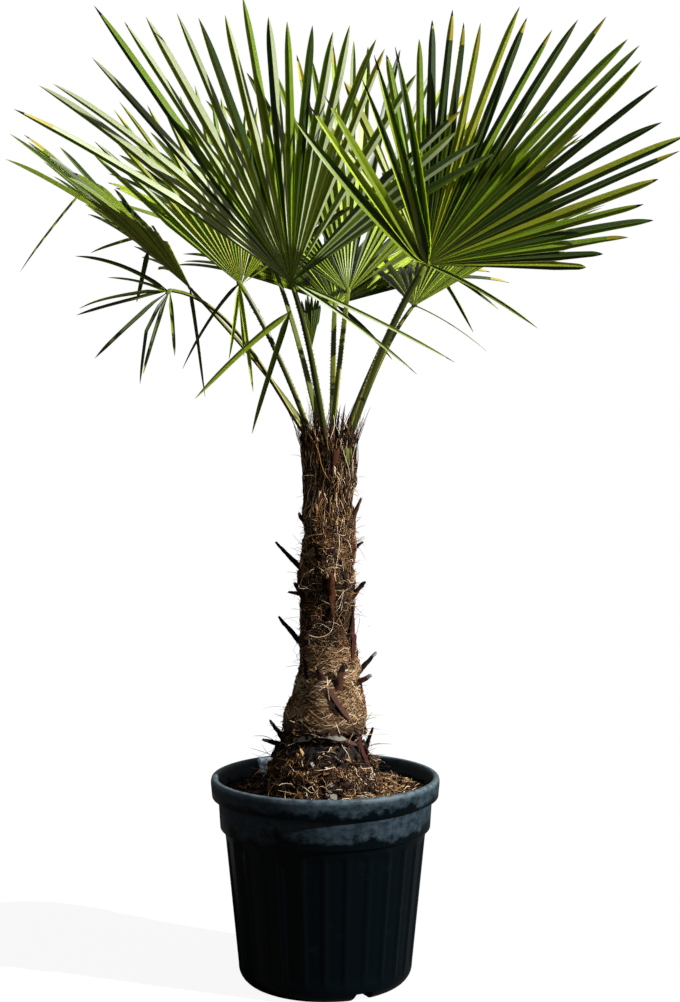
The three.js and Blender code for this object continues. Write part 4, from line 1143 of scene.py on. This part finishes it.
def folded(line, across, half, t, turn):
    """Leaflets as folded sheets along middle lines (leaflets, rows, 3). Across, the two halves rise from
    the rib like a V of slope 0.97 where they are joined and 0.62 beyond. turn twists the section about
    the line."""
    ahead = unit(np.gradient(line, axis=1))
    across = unit(across - ahead * (across * ahead).sum(-1, keepdims=True))
    over = np.cross(ahead, across)
    turn = turn[..., None]
    across, over = across * np.cos(turn) + over * np.sin(turn), over * np.cos(turn) - across * np.sin(turn)
    rib = np.minimum(RIB_HALF, half * 0.3)[..., None]
    u = SECTION[:, 0] * half[..., None] + RIB_SIGN * rib
    sheet = HALF_THICKNESS * (1 - 0.5 * t)[..., None]
    keel = np.where((np.abs(RIB_SIGN) == 1) & (SECTION[:, 1] < 0), KEEL, 1.0)
    bulge = 0.04 * half[..., None] * (np.abs(SECTION[:, 0]) == 0.55)
    slope = (FOLD_FREE + FOLD_JOINED * np.clip(1 - 5 * t, 0, 1))[..., None]
    v = slope * np.abs(u) + SECTION[:, 1] * sheet * keel + bulge
    return line[:, :, None] + u[..., None] * across[:, :, None] + v[..., None] * over[:, :, None]


def strip_width(t, joined_half, widest):
    """Half width of a leaflet at share t of its free length: from the joined part's width it swells to its
    widest, narrows evenly to about two thirds, and falls as (1 - s^2)^0.8 to its point."""
    swell = joined_half + (widest - joined_half) * ease(0, 0.15, t)
    s = np.clip((t - 0.72) / 0.28, 0, 1)
    return np.maximum(swell * (1 - 0.38 * t) * (1 - s ** 2) ** 0.8, 0.4)


def dealt_slots(rng, name, count, place):
    """Colours by leaflet: each half above and beneath draws its own tint, and the tips may be yellow or
    dry."""
    look = LOOKS[name]
    slots = np.full((count, place.shape[1], len(SECTION)), RIB)
    skins = [(edges, look["above"], DEEP) for edges in ABOVE_EDGES]
    skins += [(LEFT_EDGES, look["left"], UNDER_DEEP), (RIGHT_EDGES, look["right"], UNDER_DEEP)]
    for edges, weights, first in skins:
        slots[:, :, edges] = (deal(rng, count, weights) + first)[:, None, None]
    yellow = rng.random(count) < look["yellow"]
    slots[yellow[:, None] & (place > rng.uniform(0.88, 0.97, count)[:, None])] = YELLOW
    dry = rng.random(count) < look["dry"]
    slots[dry[:, None] & (place > rng.uniform(0.975, 0.992, count)[:, None])] = DRY
    return slots


def make_blade(f, rng):
    """Leaflets along the blade's rays. While they are joined the half width is r tan(half angle). Sway
    and lift grow with the share of the free length and its square, nod with its cube."""
    middle, face, _, reach = blade_frame(f)
    count = f["leaflets"]
    left, right = f["spread"]
    edges = np.radians(np.linspace(-right, left, count + 1))
    phi = (edges[1:] + edges[:-1]) / 2
    wedge = math.tan((edges[1] - edges[0]) / 2)
    hand = np.where(phi > 0, 0, 1)
    outward = np.abs(phi) / np.radians(np.array(f["spread"]))[hand]
    drop = (1 - np.array(f["ends"])[hand]) * outward ** np.array(f["fall"])[hand]
    number = np.arange(count)
    length = reach * (1 - drop) * (1 - 0.07 * chance(number, count + f["hub"][0]))
    length = length * rng.uniform(0.93, 1.02, count)
    joined = np.minimum(reach * f["united"] * (0.94 + 0.12 * chance(number, 4)), length * 0.8)

    inner = np.linspace(0.02, 1, JOINED_ROWS)[None] * joined[:, None]
    free = np.sin(np.linspace(0, math.pi / 2, BLADE_ROWS - JOINED_ROWS + 1)[1:]) ** 0.9
    outer = joined[:, None] + (length - joined)[:, None] * free[None]
    r = np.concatenate([inner, outer], axis=1)
    t = np.clip((r - joined[:, None]) / (length - joined)[:, None], 0, 1)

    look = LOOKS[f["name"]]
    widest = min(LEAFLET_WIDTH, reach * UNITED * 2 * wedge * 1.05) / 2 * look["slim"]
    widest = widest * rng.uniform(0.8, 1.1, (count, 1))
    half = np.where(t > 0, strip_width(t, joined[:, None] * wedge, widest), r * wedge)

    line = blade_point(f, r, phi[:, None])
    beside = blade_point(f, r, phi[:, None] + 1e-3) - blade_point(f, r, phi[:, None] - 1e-3)
    free_length = (length - joined)[:, None, None]
    grow = t[..., None]
    sway = rng.normal(0, SWAY, (count, 1, 1)) + 0.012 * np.sin(number * 2.4)[:, None, None]
    lift = rng.normal(0, LIFT, (count, 1, 1)) + 0.02 * (-1.0) ** number[:, None, None]
    nod = rng.gamma(1.2, NOD, (count, 1, 1))
    line = line + (unit(beside) * sway + face * lift) * free_length * grow * (0.75 + 0.25 * grow)
    line = line - np.array([0, 0, 1.0]) * nod * free_length * grow ** 3
    proud = (rng.random(count) < look["proud"]) * rng.uniform(0.04, 0.12, count)
    line = line - face * proud[:, None, None] * free_length * np.sin(2.2 * grow)
    for name, leaflet, share, toward in CREASED:
        if name == f["name"]:
            line[leaflet] = creased(line[leaflet], r[leaflet] / length[leaflet], share, toward)

    turn = look["twist"] * (0.1 + 1.1 * chance(number, 5))[:, None] * ease(0, 0.3, t)
    turn = turn + rng.normal(0, ROLL, (count, 1)) * t
    rings = folded(line, beside, half, t, turn)
    slots = dealt_slots(rng, f["name"], count, (r / length[:, None])[:, 1:])
    missing = np.array(look["missing"])[hand] * (np.abs(phi) > math.radians(look["beyond"]))
    kept = rng.random(count) >= missing
    rings, slots = rings[kept], slots[kept]
    mass = Mass()
    mass.add(loft(rings), slots, slots[:, [0, -1], 0][:, :, None])
    for name, start, end, width, bow in SLIPPED:
        if name == f["name"]:
            start = f["hub"] + middle * 4 if start is None else np.array(start, float)
            slip = slipped(start, np.array(end), width, bow, rng)
            slots = dealt_slots(rng, name, 1, np.linspace(0, 1, slip.shape[1] - 1)[None])
            mass.add(loft(slip), slots, slots[:, [0, -1], 0][:, :, None])
    record_slot = "young_leaf_blade" if f["name"] == "young" else "leaf_blade"
    mass.make(f"fan_{f['name']}", LEAF_FINISHES, record_slot, [f"blade_{f['name']}"], fold=28)


def creased(line, share, at, toward):
    """The line up to the crease, and from there straight on along toward, bending a little more with
    distance."""
    k = int(np.searchsorted(share, at))
    beyond = np.cumsum(np.linalg.norm(np.diff(line[k:], axis=0), axis=1))[:, None]
    toward = unit(np.array(toward, float))
    line = line.copy()
    line[k + 1:] = line[k] + toward * beyond - np.array([0, 0, 1.0]) * beyond ** 2 * 0.0004
    return line


def slipped(start, end, width, bow, rng):
    """One leaflet from start to end: line = start + t (end - start) + 4 t (1 - t) bow, rolled a little."""
    t = np.linspace(0, 1, SLIPPED_ROWS)
    bow = np.array([0, 0, bow] if np.isscalar(bow) else bow, float)
    line = start + t[:, None] * (end - start) + (4 * t * (1 - t))[:, None] * bow
    across = np.cross(end - start, [0, 1.0, 0]) * np.ones((SLIPPED_ROWS, 1))
    half = strip_width(t, 1.5, width / 2)
    roll = rng.uniform(-0.5, 0.5) + t * rng.uniform(-0.6, 0.6)
    return folded(line[None], across[None], half[None], t[None], roll[None])


# ---- floor, light and camera ----

FLOOR_RADIUS, FLOOR_GLOW = 60, 0.92
# How white the surround is as light, and to the camera.
SURROUND_LIGHT, SURROUND_SEEN = 0.34, 1.0
SUN_STRENGTH, SUN_SPREAD, SUN_FROM = 11.5, math.radians(0.8), np.array([0.80, -0.38, 0.48])
# In metres, millimetres of focal length on 36 mm of film, and degrees below the level.
CAMERA_PLACE, CAMERA_LENS, CAMERA_FILM, CAMERA_DOWN = (0.031, -4.0, 1.307), 69.16, 36, 4.17


def make_stage():
    """A plain matte floor wide enough to reach the horizon: a grey that takes the shadow, under a white that
    only the camera sees, so that the pale floor throws little light back up."""
    paper, tree, shader = finish(
        "stage_paper", "#3C3C3C", 0.9, Specular_IOR_Level=0.0, Emission_Color="#FFFFFF",
    )
    seen = add_node(tree, "ShaderNodeLightPath", out="Is Camera Ray")
    glow = add_node(tree, RANGE, [seen, 0, 1, 0, FLOOR_GLOW])
    tree.links.new(glow, shader.inputs["Emission Strength"])
    angle = np.linspace(0, TAU, 96, endpoint=False)
    disc = [(FLOOR_RADIUS * math.cos(a), FLOOR_RADIUS * math.sin(a), 0) for a in angle]
    mesh = bpy.data.meshes.new("floor")
    mesh.from_pydata(disc, [], [list(range(len(disc)))])
    mesh.materials.append(paper)
    floor = bpy.data.objects.new("floor", mesh)
    bpy.context.scene.collection.objects.link(floor)


def make_light():
    """A white surround that is dim as light and full white to the camera, and one hard lamp high on the
    right."""
    world = bpy.data.worlds.new("soft_white")
    world.use_nodes = True
    tree = world.node_tree
    surround = tree.nodes["Background"]
    surround.inputs["Color"].default_value = linear("#FFFFFF")
    seen = add_node(tree, "ShaderNodeLightPath", out="Is Camera Ray")
    strength = add_node(tree, RANGE, [seen, 0, 1, SURROUND_LIGHT, SURROUND_SEEN])
    tree.links.new(strength, surround.inputs["Strength"])
    bpy.context.scene.world = world
    lamp = bpy.data.lights.new("key", "SUN")
    lamp.energy = SUN_STRENGTH
    lamp.angle = SUN_SPREAD
    key = bpy.data.objects.new("key", lamp)
    slope = math.acos(SUN_FROM[2] / np.linalg.norm(SUN_FROM))
    key.rotation_euler = (slope, 0, math.atan2(SUN_FROM[0], -SUN_FROM[1]))
    bpy.context.scene.collection.objects.link(key)


def make_camera():
    lens = bpy.data.cameras.new("camera")
    lens.sensor_fit = "VERTICAL"
    lens.sensor_height = CAMERA_FILM
    lens.sensor_width = CAMERA_FILM
    lens.lens = CAMERA_LENS
    lens.clip_end = 200
    camera = bpy.data.objects.new("camera", lens)
    camera.location = CAMERA_PLACE
    camera.rotation_euler = (math.radians(90 - CAMERA_DOWN), 0, 0)
    bpy.context.scene.collection.objects.link(camera)
    bpy.context.scene.camera = camera


# ---- the object ----

plastic, compost, felt = plastic_finish(), soil_finish(), trunk_finish()
make_pot(plastic)

soil = Mass()
soil.add(soil_surface())
soil.make("compost", [compost], "potting_soil", ["soil"])
rng = np.random.default_rng(7)
litter = Mass()
for surface, colour in (chips(rng, 3600), flakes(rng, 420)):
    litter.add_each(surface, colour)
litter.make("compost_chips", CHIP_FINISHES, "potting_soil", fold=20)

make_trunk(felt)
make_fibre(np.random.default_rng(21))
make_leaf_bases(np.random.default_rng(5))
make_stalks(np.random.default_rng(9))
for number, f in enumerate(FRONDS):
    make_blade(f, np.random.default_rng(100 + number))

make_stage()
make_light()
make_camera()
bpy.context.scene.view_settings.view_transform = "Standard"
